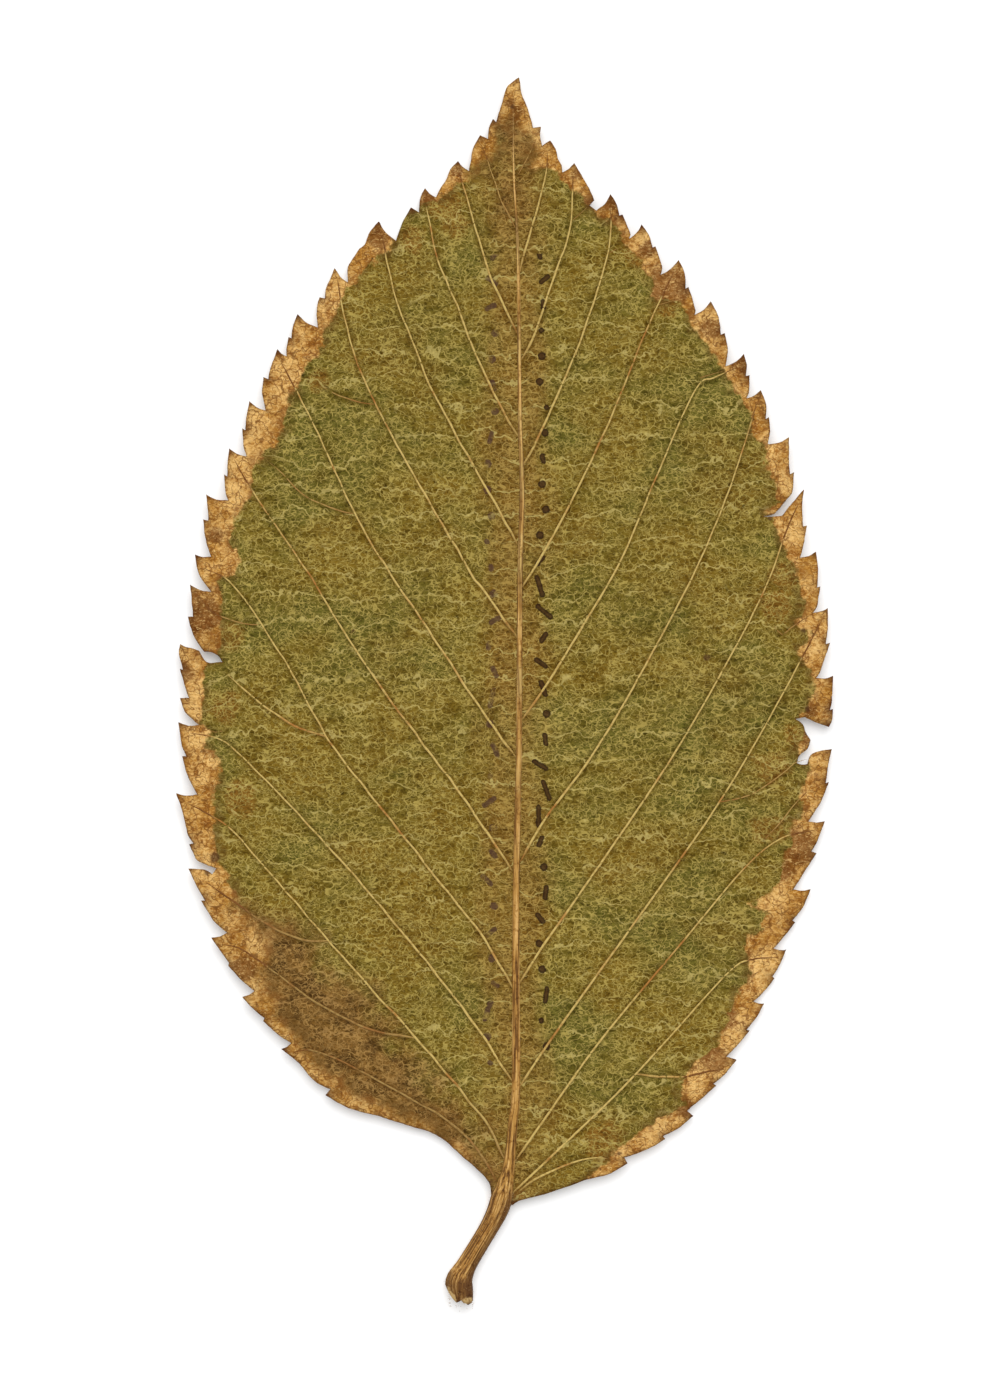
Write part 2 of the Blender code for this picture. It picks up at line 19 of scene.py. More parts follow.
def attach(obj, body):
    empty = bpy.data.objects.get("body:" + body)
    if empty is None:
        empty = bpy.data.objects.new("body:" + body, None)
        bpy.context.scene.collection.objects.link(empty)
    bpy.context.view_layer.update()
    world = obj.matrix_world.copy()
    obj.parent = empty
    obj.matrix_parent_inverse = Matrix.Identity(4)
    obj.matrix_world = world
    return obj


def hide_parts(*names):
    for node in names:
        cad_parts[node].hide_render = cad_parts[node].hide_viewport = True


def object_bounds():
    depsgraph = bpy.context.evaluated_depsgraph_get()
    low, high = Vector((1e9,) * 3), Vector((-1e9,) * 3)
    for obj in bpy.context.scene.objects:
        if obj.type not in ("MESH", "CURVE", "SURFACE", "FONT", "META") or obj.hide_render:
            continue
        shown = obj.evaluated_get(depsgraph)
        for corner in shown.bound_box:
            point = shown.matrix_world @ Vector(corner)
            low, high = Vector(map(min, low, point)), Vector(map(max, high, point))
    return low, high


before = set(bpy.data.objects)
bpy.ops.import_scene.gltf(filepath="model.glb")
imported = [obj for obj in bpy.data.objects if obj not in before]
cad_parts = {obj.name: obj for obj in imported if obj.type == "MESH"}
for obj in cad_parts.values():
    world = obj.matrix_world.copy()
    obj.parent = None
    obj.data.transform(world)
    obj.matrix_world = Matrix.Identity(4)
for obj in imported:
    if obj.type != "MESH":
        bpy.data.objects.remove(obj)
cad_low, cad_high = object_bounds()

MM = 0.001
LEAF = "leaf"

# The sheet's places of the leaf's tip and of its leftmost tooth, which lie on the solid's box
SHEET_TIP_Y = 7.9
SHEET_LEFT_X = 17.7
SHEET_X = SHEET_LEFT_X - cad_low[0] / MM
SHEET_Y = SHEET_TIP_Y + cad_high[1] / MM

# View from straight above: the sheet's middle, and how much of the sheet is seen from top to bottom
VIEW_CENTRE = (50.0, 70.0)
VIEW_LENGTH = 140.0
CAMERA_LENS = 120.0
CAMERA_SENSOR = 36.0

# Light and floor
STUDIO_LIGHT = 0.66
KEY_LIGHT = 2.35
KEY_WIDTH = math.radians(52)
KEY_FROM = (0.04, 0.58, 1.0)
LIGHT_ABOVE_WHITE = 1.22
FLOOR_SIZE = 8000.0
FLOOR_GAP = 0.02
FLOOR_SHADE = 0.78
# The floor's faint glow, painted light that lightens the shadows on it
FLOOR_GLOW = 0.18

# Blade. The net's lines have strengths from 0 to 1. A rung is a cross vein from one side vein to the next
BLADE_THICKNESS = 0.26
CELL_SIZE = 0.86
CELL_ROW_STEP = CELL_SIZE * 0.87
CELL_JITTER = 0.46
CELL_SEED = 3
CELL_CLEAR_OF_EDGE = 0.15
WIDE_CELL_SIZE = 2.5
WIDE_CELL_SQUEEZE = 0.75
WIDE_CELL_SEED = 7
NET_SEED = 15
NET_HALF_WIDTH = 0.13
NET_HEIGHT = 0.06
NET_FADE_AT_EDGE = 1.2
WEAK_LINES = (0.1, 0.55)
WIDE_CELL_LINES = (0.55, 0.94)
RUNG_STRENGTH = 0.95
RUNG_FROM = 0.9
RUNG_WIDER = 1.4
RUNG_HEIGHT = 0.10
RUNG_SPACING = 3.1
PUCKER_HEIGHT = 0.13
WRINKLE_HEIGHT = 0.08
SWELL_HEIGHT = 0.15
SWELL_REACH = 2.0
FLAT_AT_EDGE = 3.0
EDGE_STEP = 0.3
EDGE_CORNER = math.radians(38)
EDGE_ROUGHNESS = 0.05
TOOTH_DARKNESS = (0.45, 1.15)
TOOTH_DARK_REACH = 0.8
TOOTH_SEED = 11
STALK_FROM_Y = 119.0
GRID_STEP = 0.8
GRID_SMOOTHING = 3

# Veins and stalk
VEIN_STEP = 0.5
VEIN_SIDES = 8
VEIN_WIDTHS = (0.26, 0.15)
FORK_WIDTHS = (0.17, 0.10)
VEIN_RISE = 0.75
VEIN_SWAY = 0.09
VEIN_UNEVEN = 0.22
MIDRIB_X = 51.6
MIDRIB_STEP = 0.45
MIDRIB_SIDES = 28
MIDRIB_FLATNESS = 0.85
RIB_LOW_FROM_Y = 72.0
RIB_TIP_TO_Y = 17.0
STALK_BLEND = 3.0
STALK_ABOVE_FLOOR = 0.03
STALK_ABOVE_BLADE = 0.35
FOOT_ROUGHNESS = 0.10
FOOT_SEED = 21
HAIR_SIDES = 3
HAIR_SEED = 33
STALK_HAIRS = 260
STALK_HAIR_RADIUS = 0.022
MIDRIB_HAIRS = 320
MIDRIB_HAIR_RADIUS = 0.014

# Threads and ink marks: the threads' spacing, the ink's stretch of the sheet, and each column's x and spacing
CROSS_THREAD_SPACING = 2.7
INK_MIDDLE_Y = 66.0
INK_REACH = 40.5
INK_RIGHT = (54.3, 2.55)
INK_LEFT = (49.1, 2.6)

# Colours as they look in the scene's light: red, green and blue from 0 to 255
OLIVE = (128, 101, 31)
GREENER = (104, 97, 37)
BROWNER = (125, 92, 28)
BY_MIDRIB = (128, 88, 33)
DARK_BROWN = (92, 61, 29)
LIGHT_BROWN = (138, 98, 48)
GOLDEN = (142, 94, 34)
PALE_FELT = (164, 146, 66)
PALE_FELT_IN_BROWN = (146, 108, 56)
THREAD = (186, 164, 86)
THREAD_IN_BROWN = (174, 132, 74)
THREAD_BY_MIDRIB = (176, 134, 68)
CROSS_THREAD = (196, 176, 104)
CROSS_THREAD_IN_BROWN = (166, 124, 70)
FRINGE = (96, 66, 26)
TAN = (190, 136, 60)
PALE_TAN = (240, 193, 118)
TAN_FELT = (238, 196, 124)
VEINLET = (118, 72, 28)
RUST = (126, 76, 28)
FLECK = (138, 86, 36)
RIM = (116, 72, 32)
TOOTH_TIP = (92, 54, 26)
STAIN = (78, 48, 28)
INK = (44, 26, 14)
INK_INSIDE = (84, 56, 28)
INK_FADED = (80, 54, 44)
VEIN = (206, 178, 104)
VEIN_ORANGE = (174, 120, 56)
VEIN_ROOT = (150, 110, 50)
VEIN_FORK = (148, 102, 48)
VEIN_IN_BROWN = (136, 96, 50)
VEIN_DEAD = (126, 80, 36)
RIB = (208, 172, 102)
RIB_ORANGE = (184, 138, 70)
# Painted shade on the rounded midrib's two sides
RIB_SIDE_SHADE = (116, 80, 36)
RIB_LOW = (184, 136, 66)
RIB_TIP = (112, 70, 36)
STALK = (172, 124, 60)
# Painted shade on the stalk's right side
STALK_SHADE_RIGHT = (92, 58, 26)
DARK_FIBRE = (98, 62, 26)
PALE_FIBRE = (226, 182, 112)
COLLAR = (92, 58, 28)
TORN = (206, 172, 114)
DARK_HAIR = (112, 78, 48)
PALE_HAIR = (206, 174, 124)

# Side veins, each from where it leaves the midrib, or another vein, out to its tooth
LEFT_VEINS = [
    [(51.7, 33.5), (50.1, 30.0), (48.8, 27.0), (47.9, 24.0), (46.7, 19.9), (45.9, 17.2)],
    [(51.9, 43.7), (49.7, 40.0), (47.1, 34.3), (46.0, 31.3), (43.8, 26.0), (42.6, 20.5)],
    [(51.8, 54.5), (49.7, 50.7), (46.0, 44.2), (42.8, 38.1), (40.9, 33.3), (39.5, 29.6), (38.2, 23.5)],
    [(51.8, 64.0), (48.3, 58.9), (46.3, 56.0), (37.3, 40.0), (34.7, 32.6), (33.7, 28.0)],
    [(51.6, 75.8), (47.6, 70.2), (43.4, 63.8), (39.7, 58.4), (35.5, 51.4), (31.4, 42.5), (28.2, 36.3)],
    [(51.2, 87.0), (46.0, 79.3), (40.8, 72.4), (35.7, 65.2), (30.8, 57.2), (26.6, 51.1), (24.3, 47.4),
     (23.5, 46.1)],
    [(51.5, 99.0), (48.3, 93.7), (46.0, 90.7), (36.0, 78.1), (32.7, 73.7), (28.8, 66.6), (23.6, 58.8),
     (20.6, 56.9)],
    [(32.7, 73.7), (29.5, 72.6), (26.2, 70.4), (22.8, 67.4)],
    [(51.2, 108.0), (46.0, 100.4), (36.0, 88.1), (29.4, 80.9), (24.0, 75.4), (22.1, 73.9), (19.1, 73.3)],
    [(50.5, 116.0), (48.5, 112.0), (43.9, 106.4), (40.5, 102.5), (33.7, 94.9), (27.7, 88.0), (22.8, 82.6),
     (18.9, 80.4)],
    [(41.5, 103.7), (37.2, 102.9), (32.1, 100.4), (27.9, 97.4), (24.5, 95.0), (22.2, 94.4)],
    [(33.0, 94.0), (30.2, 93.9), (26.6, 92.3), (24.5, 90.8), (20.7, 88.2)],
    [(49.6, 118.0), (48.1, 115.4), (44.9, 112.0), (38.5, 108.3), (34.2, 106.0), (31.1, 104.9), (29.3, 105.2)],
]
RIGHT_VEINS = [
    [(51.9, 27.5), (52.4, 25.5), (53.2, 22.8), (54.0, 19.9), (54.6, 17.4), (54.7, 15.4)],
    [(52.0, 36.2), (53.5, 33.4), (55.5, 27.4), (56.7, 24.2), (57.2, 21.0), (57.3, 17.6)],
    [(52.0, 47.0), (53.3, 44.8), (55.5, 40.1), (58.0, 34.2), (60.3, 27.2), (61.0, 24.0), (61.0, 21.0)],
    [(52.0, 59.0), (53.8, 56.2), (56.7, 51.0), (61.0, 42.0), (63.8, 35.0), (65.9, 30.3), (67.4, 27.2)],
    [(52.0, 72.2), (54.5, 68.7), (58.4, 62.4), (62.1, 56.0), (65.5, 48.0), (69.4, 39.2), (71.3, 37.9),
     (73.6, 36.9)],
    [(52.0, 86.2), (54.5, 81.9), (58.9, 76.0), (63.1, 69.1), (68.8, 58.5), (72.1, 51.0), (74.2, 45.0),
     (75.6, 40.4)],
    [(51.8, 98.5), (54.4, 94.4), (58.0, 89.3), (67.0, 76.0), (73.5, 64.7), (76.8, 58.0), (78.6, 53.0),
     (79.8, 50.4)],
    [(52.0, 108.5), (56.2, 102.3), (68.0, 85.9), (72.4, 79.4), (76.2, 73.0), (80.0, 66.0), (82.2, 61.8)],
    [(51.5, 116.0), (54.3, 112.0), (60.0, 104.0), (68.0, 94.4), (74.5, 86.7), (78.1, 83.8), (81.4, 83.0)],
    [(51.2, 119.2), (56.5, 114.2), (61.7, 109.2), (66.4, 104.2), (72.8, 97.2), (75.1, 95.9), (77.7, 95.7)],
    [(63.4, 107.3), (67.9, 107.6), (71.0, 107.0), (72.6, 106.8)],
    [(51.9, 119.0), (53.8, 117.6), (58.3, 115.8), (60.9, 115.7)],
]
FAINT_VEINS = [
    [(51.6, 23.0), (50.2, 20.2), (49.0, 17.0), (48.2, 14.6)],
    [(51.8, 17.6), (52.8, 15.8), (53.6, 14.0)],
    [(57.0, 22.4), (58.7, 20.9)],
    [(60.8, 25.5), (62.5, 24.5)],
    [(65.2, 30.8), (67.8, 30.1)],
    [(69.9, 37.9), (72.3, 37.2)],
    [(26.0, 62.5), (24.5, 62.4), (22.0, 61.6), (20.7, 60.6), (19.7, 59.4)],
    [(35.4, 51.4), (33.6, 51.0), (30.5, 49.6), (28.3, 47.4), (26.9, 46.3)],
    [(37.4, 40.5), (35.0, 40.0), (33.2, 39.3), (31.8, 38.4)],
    [(77.4, 62.7), (78.1, 63.5), (79.0, 62.8), (80.2, 62.0), (81.0, 61.5)],
    [(71.8, 80.2), (74.6, 79.6), (76.3, 78.7), (78.6, 77.0), (79.4, 76.3), (80.6, 75.9)],
    [(76.4, 83.9), (78.0, 82.2), (79.4, 80.4), (81.0, 78.8)],
    [(22.3, 73.1), (21.6, 73.2), (20.8, 72.9), (20.2, 72.6)],
]

# The blade's edge round the stalk, from left to right
BASE_EDGE = [(49.15, 119.6), (49.7, 120.4), (51.3, 120.4), (51.85, 119.95), (52.8, 119.7), (54.2, 119.35)]

# The midrib and stalk from near the tip down to the broken foot: x, y, diameter
STEM = [
    (51.3, 11.0, 0.16), (51.4, 17.9, 0.21), (51.8, 26.0, 0.31), (52.0, 42.0, 0.43), (52.2, 49.0, 0.50),
    (52.0, 58.0, 0.54), (51.9, 74.0, 0.60), (51.6, 90.0, 0.68), (51.6, 108.0, 0.85), (51.3, 112.0, 0.95),
    (50.95, 116.0, 1.15), (50.6, 118.1, 1.6), (50.2, 119.6, 2.15), (49.75, 121.0, 2.1), (48.9, 122.7, 1.85),
    (47.6, 124.9, 1.8), (46.6, 126.6, 1.95), (45.95, 128.0, 2.6), (46.05, 129.2, 2.5), (46.15, 130.5, 2.3),
]

# The lower rim of the broken foot, from left to right
FOOT_END = [(44.4, 128.2), (45.0, 129.2), (45.6, 130.1), (46.1, 129.8), (46.8, 130.3), (47.3, 129.9)]

# Pale wood in the broken foot: x, y, size
TORN_PLACES = [
    (44.8, 128.8, 0.5), (45.1, 129.4, 0.55), (45.4, 129.9, 0.4), (46.6, 129.9, 0.5), (47.0, 129.8, 0.4),
]

# The part of the blade that isn't dead and tan, from the tip down the left side and up the right one, and
# then the brown patches at the blade's base and tip
LIVING = [
    (50.9, 12.7), (49.9, 13.2), (50.1, 14.6), (49.8, 15.7), (48.6, 16.2), (47.3, 17.0), (47.0, 18.3),
    (45.2, 18.8), (43.9, 20.1), (42.6, 20.8), (41.6, 20.2), (40.2, 21.0), (39.4, 24.6), (37.6, 26.2),
    (36.4, 27.2), (35.2, 28.6), (34.2, 29.7), (33.4, 31.7), (32.3, 33.5), (32.5, 34.2), (31.8, 35.7),
    (30.3, 37.0), (30.0, 37.7), (29.4, 39.6), (28.9, 40.4), (28.3, 43.1), (27.6, 44.5), (26.3, 45.6),
    (25.4, 46.5), (25.1, 48.5), (25.4, 49.8), (24.5, 50.7), (23.4, 52.5), (23.1, 54.5), (23.9, 55.9),
    (23.4, 57.4), (22.0, 58.1), (21.9, 59.4), (22.3, 61.0), (22.2, 62.6), (22.1, 65.4), (20.9, 66.1),
    (20.6, 67.7), (20.3, 70.4), (20.2, 72.2), (20.9, 72.9), (20.8, 74.5), (22.0, 75.8), (22.0, 77.4),
    (21.4, 79.4), (21.5, 81.2), (21.6, 83.4), (21.8, 85.2), (22.5, 87.0), (23.1, 87.9), (24.2, 90.1),
    (25.4, 91.4), (26.9, 93.2), (27.2, 95.2), (26.6, 96.8), (26.9, 98.6), (28.3, 100.8), (30.0, 103.0),
    (30.8, 105.0), (32.5, 107.0), (35.5, 108.9), (39.0, 110.5), (42.5, 111.9), (45.6, 114.4), (47.8, 117.4),
    (49.2, 119.8), (51.4, 120.8), (54.2, 119.8), (57.0, 119.0), (59.0, 117.6), (60.4, 116.2), (61.6, 114.8),
    (64.2, 112.8), (66.4, 111.4), (68.6, 110.4), (68.0, 109.2), (68.1, 107.6), (70.2, 105.6), (71.6, 104.4),
    (72.5, 102.4), (73.2, 100.6), (73.9, 98.8), (74.9, 97.2), (74.5, 95.0), (74.3, 93.4), (76.1, 93.0),
    (76.5, 91.6), (74.9, 90.3), (77.0, 89.4), (77.9, 87.8), (78.3, 85.6), (79.2, 84.3), (78.8, 82.7),
    (80.5, 81.2), (79.8, 80.0), (80.1, 78.5), (81.1, 76.8), (80.6, 76.3), (79.5, 75.4), (79.9, 74.4),
    (80.5, 73.5), (80.3, 72.5), (79.9, 71.6), (80.9, 70.5), (81.2, 68.8), (81.0, 67.6), (80.1, 65.9),
    (79.6, 64.9), (80.5, 64.6), (80.8, 63.3), (79.3, 62.5), (80.1, 61.4), (80.2, 60.2), (79.7, 58.1),
    (79.2, 56.3), (78.6, 55.2), (77.9, 53.6), (77.4, 52.3), (76.4, 51.4), (77.7, 50.2), (77.4, 48.5),
    (76.5, 46.7), (76.1, 44.5), (74.8, 43.4), (75.2, 42.0), (74.5, 40.5), (73.4, 39.2), (71.9, 36.8),
    (70.7, 34.8), (69.4, 32.8), (69.0, 31.7), (67.8, 30.3), (65.3, 29.7), (65.4, 28.3), (64.5, 27.4),
    (63.4, 25.2), (62.5, 24.1), (61.2, 22.5), (59.6, 21.4), (58.7, 20.3), (57.4, 19.2), (55.4, 17.2),
    (54.5, 16.9), (53.3, 17.3), (52.9, 16.4), (53.4, 15.2), (52.7, 14.0), (51.9, 13.2),
]
BROWN_BASE = [
    (21.5, 90.5), (24.0, 89.4), (29.3, 90.8), (32.0, 93.2), (37.0, 98.6), (41.0, 103.2), (46.3, 108.9),
    (49.6, 112.4), (50.9, 115.0), (51.0, 120.8), (45.0, 120.0), (36.0, 116.5), (28.0, 111.0), (20.0, 98.0),
]
BROWN_TIP = [
    (49.9, 12.9), (51.0, 11.6), (51.8, 12.6), (52.8, 13.9), (53.7, 15.3), (52.6, 16.7), (51.7, 17.9),
    (51.4, 21.4), (50.4, 22.4), (49.0, 18.8), (47.0, 17.4), (49.3, 15.9), (50.0, 14.6),
]

# Round patches of the blade: x, y, size
GOLDEN_PATCHES = [
    (44.6, 20.6, 1.9), (45.6, 22.4, 1.7), (41.2, 24.0, 1.6), (63.4, 25.4, 1.5), (66.6, 30.4, 1.7),
    (78.4, 57.6, 1.8), (77.6, 60.4, 1.9), (77.2, 76.8, 1.9), (79.2, 73.6, 1.2), (76.6, 83.0, 2.0),
    (60.4, 114.2, 2.4), (23.2, 63.8, 1.6), (22.6, 70.6, 1.8), (24.2, 79.8, 2.0), (31.8, 38.2, 1.4),
    (51.3, 119.9, 1.1), (51.9, 119.2, 0.8),
]
DARK_PATCHES = [
    (20.2, 61.5, 2.4), (51.0, 10.5, 0.6), (51.6, 11.2, 0.7), (51.2, 12.2, 0.8), (71.4, 105.8, 1.6),
    (66.6, 28.6, 2.2), (67.9, 29.2, 1.2), (79.6, 84.6, 2.2), (78.0, 86.6, 1.8), (73.8, 36.2, 1.3),
    (42.6, 20.4, 1.3), (45.7, 17.3, 0.6), (24.6, 96.8, 1.4), (29.0, 101.0, 1.4), (61.0, 20.6, 0.8),
    (57.6, 17.7, 0.7), (80.9, 71.2, 0.8), (18.4, 67.4, 1.2), (80.5, 73.4, 0.5), (75.4, 35.2, 1.6),
    (80.4, 47.6, 1.0), (64.6, 25.2, 1.0), (21.6, 53.6, 0.9), (37.8, 24.0, 1.2), (70.9, 33.0, 1.1),
    (72.6, 102.0, 1.2), (68.4, 110.6, 1.0),
]
STAINS = [
    (51.3, 10.8, 0.3), (80.3, 63.1, 0.35), (70.6, 65.8, 0.4), (20.4, 75.1, 0.3), (21.6, 85.7, 0.6),
    (49.0, 118.1, 0.3), (49.25, 119.0, 0.35), (48.7, 117.3, 0.25), (57.4, 118.4, 0.4), (61.9, 115.2, 0.3),
    (35.3, 63.2, 0.35), (80.7, 73.3, 0.3), (77.0, 51.8, 0.4), (80.7, 70.9, 0.4), (20.8, 87.1, 0.5),
]


def plan(x, y):
    """A point of the sheet in the part's own plan."""
    return Vector((x - SHEET_X, SHEET_Y - y))


def seen(red, green, blue):
    """The surface colour that looks like this one, 0 to 255, in light that is brighter than white."""
    surface = []
    for value in (red, green, blue):
        share = value / 255
        linear = share / 12.92 if share <= 0.04045 else ((share + 0.055) / 1.055) ** 2.4
        surface.append(linear / LIGHT_ABOVE_WHITE)
    return (*surface, 1.0)


def catmull_rom(before, start, end, after, share):
    """A point on the smooth span from start to end."""
    return 0.5 * (
        2 * start
        + (end - before) * share
        + (2 * before - 5 * start + 4 * end - after) * share**2
        + (3 * start - before - 3 * end + after) * share**3
    )


def smooth_line(points, step):
    """Points about a step apart on a smooth curve through the given points."""
    line = [points[0]]
    for i in range(len(points) - 1):
        before = points[max(i - 1, 0)]
        after = points[min(i + 2, len(points) - 1)]
        count = max(1, round((points[i + 1] - points[i]).length / step))
        line += [catmull_rom(before, points[i], points[i + 1], after, (k + 1) / count) for k in range(count)]
    return line


def solid_edge():
    """The outline of the solid's underside in plan: up the right side, down the left one, round the stalk."""
    solid = bmesh.new()
    solid.from_mesh(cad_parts[LEAF].data)
    bmesh.ops.remove_doubles(solid, verts=solid.verts, dist=1e-7)
    lowest = (SHEET_Y - STALK_FROM_Y) * MM
    neighbours = {}
    for edge in solid.edges:
        if len(edge.link_faces) != 2 or min(v.co.y for v in edge.verts) < lowest:
            continue
        under, wall = sorted(face.normal.z for face in edge.link_faces)
        if under < -0.5 and abs(wall) < 0.5:
            a, b = edge.verts
            neighbours.setdefault(a, []).append(b)
            neighbours.setdefault(b, []).append(a)
    tip = max(neighbours, key=lambda v: v.co.y)
    sides = []
    for first in neighbours[tip]:
        side = [tip, first]
        while True:
            others = [v for v in neighbours[side[-1]] if v not in (side[-2], side[-1])]
            if not others:
                break
            side.append(others[0])
        sides.append([v.co.xy / MM for v in side])
    sides.sort(key=lambda side: side[len(side) // 2].x)
    solid.free()
    left, right = sides
    return right[::-1] + left[1:] + [plan(*point) for point in BASE_EDGE]


def refined_edge(loop):
    """The outline with rounded runs, sharp teeth and a slightly rough line."""
    count = len(loop)
    corner = []
    for i in range(count):
        before = loop[i] - loop[i - 1]
        after = loop[(i + 1) % count] - loop[i]
        corner.append(before.angle(after, 0.0) > EDGE_CORNER)
    fine = []
    for i in range(count):
        start, end = loop[i], loop[(i + 1) % count]
        before = start if corner[i] else loop[i - 1]
        after = end if corner[(i + 1) % count] else loop[(i + 2) % count]
        steps = max(1, round((end - start).length / EDGE_STEP))
        for k in range(steps):
            fine.append(catmull_rom(before, start, end, after, k / steps))
    rough = []
    for i, point in enumerate(fine):
        along = fine[(i + 1) % len(fine)] - fine[i - 1]
        across = Vector((along.y, -along.x)).normalized()
        push = noise.noise((point.x * 1.1, point.y * 1.1, 4.0))
        push += 0.6 * noise.noise((point.x * 3.1, point.y * 3.1, 9.0))
        rough.append(point + across * push * EDGE_ROUGHNESS)
    return rough


def tooth_tips(loop):
    """The sharp outward corners of the outline."""
    tips = []
    for i, point in enumerate(loop):
        before = point - loop[i - 1]
        after = loop[(i + 1) % len(loop)] - point
        if before.cross(after) > 0 and before.angle(after, 0.0) > EDGE_CORNER:
            tips.append(point)
    return tips


class Surface:
    """Heights of the blade at any place in plan: the solid's underside, evened out, and its swells."""

    def __init__(self, outline, vein_lines):
        self.edge_tree = point_tree(outline)
        self.vein_tree = point_tree([point for line in vein_lines for point in line])
        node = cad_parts[LEAF]
        tree = BVHTree.FromObject(node, bpy.context.evaluated_depsgraph_get())
        self.left = cad_low[0] / MM - 2 * GRID_STEP
        self.low = cad_low[1] / MM - 2 * GRID_STEP
        columns = int((cad_high[0] - cad_low[0]) / MM / GRID_STEP) + 5
        rows = int((cad_high[1] - cad_low[1]) / MM / GRID_STEP) + 5
        grid = np.full((rows, columns), np.nan)
        for row in range(rows):
            for column in range(columns):
                place = Vector((self.left + column * GRID_STEP, self.low + row * GRID_STEP, -1.0)) * MM
                hit = tree.ray_cast(place, Vector((0, 0, 1)))[0]
                if hit:
                    grid[row, column] = hit.z / MM
        grid = self.filled(grid)
        for _ in range(GRID_SMOOTHING):
            wide = np.pad(grid, 1, mode="edge")
            grid = (2 * grid + wide[:-2, 1:-1] + wide[2:, 1:-1] + wide[1:-1, :-2] + wide[1:-1, 2:]) / 6
        self.grid = grid

    @staticmethod
    def filled(grid):
        """The grid with its empty places filled from their neighbours."""
        while np.isnan(grid).any():
            wide = np.pad(grid, 1, constant_values=np.nan)
            near = np.stack([wide[:-2, 1:-1], wide[2:, 1:-1], wide[1:-1, :-2], wide[1:-1, 2:]])
            known = (~np.isnan(near)).sum(0)
            total = np.nansum(near, axis=0)
            fill = np.isnan(grid) & (known > 0)
            grid = grid.copy()
            grid[fill] = total[fill] / known[fill]
        return grid

    def rest(self, x, y):
        """The height of the solid's underside."""
        column = min(max((x - self.left) / GRID_STEP, 0.0), self.grid.shape[1] - 1.001)
        row = min(max((y - self.low) / GRID_STEP, 0.0), self.grid.shape[0] - 1.001)
        i, j = int(row), int(column)
        down, across = row - i, column - j
        upper = self.grid[i, j] * (1 - across) + self.grid[i, j + 1] * across
        lower = self.grid[i + 1, j] * (1 - across) + self.grid[i + 1, j + 1] * across
        return upper * (1 - down) + lower * down

    def edge_mm(self, x, y):
        """How far a place lies from the blade's edge."""
        return self.edge_tree.find((x, y, 0.0))[2]

    def vein_mm(self, x, y):
        """How far a place lies from the nearest side vein."""
        return self.vein_tree.find((x, y, 0.0))[2]

    def inner(self, x, y):
        """0 at the blade's edge and 1 well inside it."""
        return min(1.0, self.edge_mm(x, y) / FLAT_AT_EDGE)

    def relief(self, x, y):
        """How far the blade swells between its veins, with small wrinkles across it, flat at its edge."""
        uneven = noise.noise((x * 0.16, y * 0.16, 1.0))
        wrinkle = noise.noise((x * 0.30, y * 0.85, 7.0)) + 0.5 * noise.noise((x * 0.7, y * 1.9, 3.0))
        share = min(1.0, self.vein_mm(x, y) / SWELL_REACH)
        swell = SWELL_HEIGHT * share * (2 - share)
        return (swell + PUCKER_HEIGHT * (0.4 + uneven) + WRINKLE_HEIGHT * wrinkle) * self.inner(x, y)

    def top(self, x, y):
        """The height of the blade's upper face."""
        return self.rest(x, y) + BLADE_THICKNESS + self.relief(x, y)


def signed_depths(points, sheet_polygon):
    """How far each point lies inside a polygon of the sheet, negative outside it."""
    polygon = [plan(*point) for point in sheet_polygon]
    nearest = np.full(len(points), 1e9)
    within = np.zeros(len(points), dtype=bool)
    for a, b in zip(polygon, polygon[1:] + polygon[:1]):
        span = np.array((b.x - a.x, b.y - a.y))
        from_a = points - np.array((a.x, a.y))
        share = np.clip(from_a @ span / (span @ span), 0.0, 1.0)
        away = from_a - share[:, None] * span
        nearest = np.minimum(nearest, np.hypot(away[:, 0], away[:, 1]))
        if a.y != b.y:
            level = (a.y > points[:, 1]) != (b.y > points[:, 1])
            crossing = a.x + (points[:, 1] - a.y) * (b.x - a.x) / (b.y - a.y)
            within ^= level & (points[:, 0] < crossing)
    return np.where(within, nearest, -nearest)


def point_tree(points):
    """A search tree of points in plan."""
    tree = kdtree.KDTree(len(points))
    for i, point in enumerate(points):
        tree.insert((point.x, point.y, 0.0), i)
    tree.balance()
    return tree


def rung_row(point):
    """The number of the strip between two cross veins that a point lies in."""
    slope = 0.10 * abs(point.x)
    bend = 1.1 * noise.noise((point.x * 0.09, point.y * 0.09, 5.0))
    bend += 0.5 * noise.noise((point.x * 0.4, point.y * 0.4, 2.0))
    return math.floor((point.y - slope + bend * 1.6) / RUNG_SPACING)


def net_seeds(outline, surface):
    """Middles of the net's cells: a staggered grid, loosened, inside the outline."""
    draw = random.Random(CELL_SEED)
    seeds = []
    low_y = min(point.y for point in outline)
    high_y = max(point.y for point in outline)
    for row in range(int((high_y - low_y) / CELL_ROW_STEP) + 1):
        y = low_y + row * CELL_ROW_STEP
        crossed = []
        for a, b in zip(outline, outline[1:] + outline[:1]):
            if (a.y > y) != (b.y > y):
                crossed.append(a.x + (y - a.y) * (b.x - a.x) / (b.y - a.y))
        crossed.sort()
        for start, stop in zip(crossed[::2], crossed[1::2]):
            for column in range(math.ceil(start / CELL_SIZE), math.floor(stop / CELL_SIZE) + 1):
                base = Vector(((column + 0.5 * (row % 2)) * CELL_SIZE, y))
                shift = Vector((draw.uniform(-1, 1), draw.uniform(-1, 1))) * CELL_JITTER * CELL_SIZE
                clear = surface.edge_mm(base.x, base.y) > CELL_CLEAR_OF_EDGE + CELL_JITTER
                if start < base.x < stop and clear:
                    seeds.append(base + shift)
    return seeds


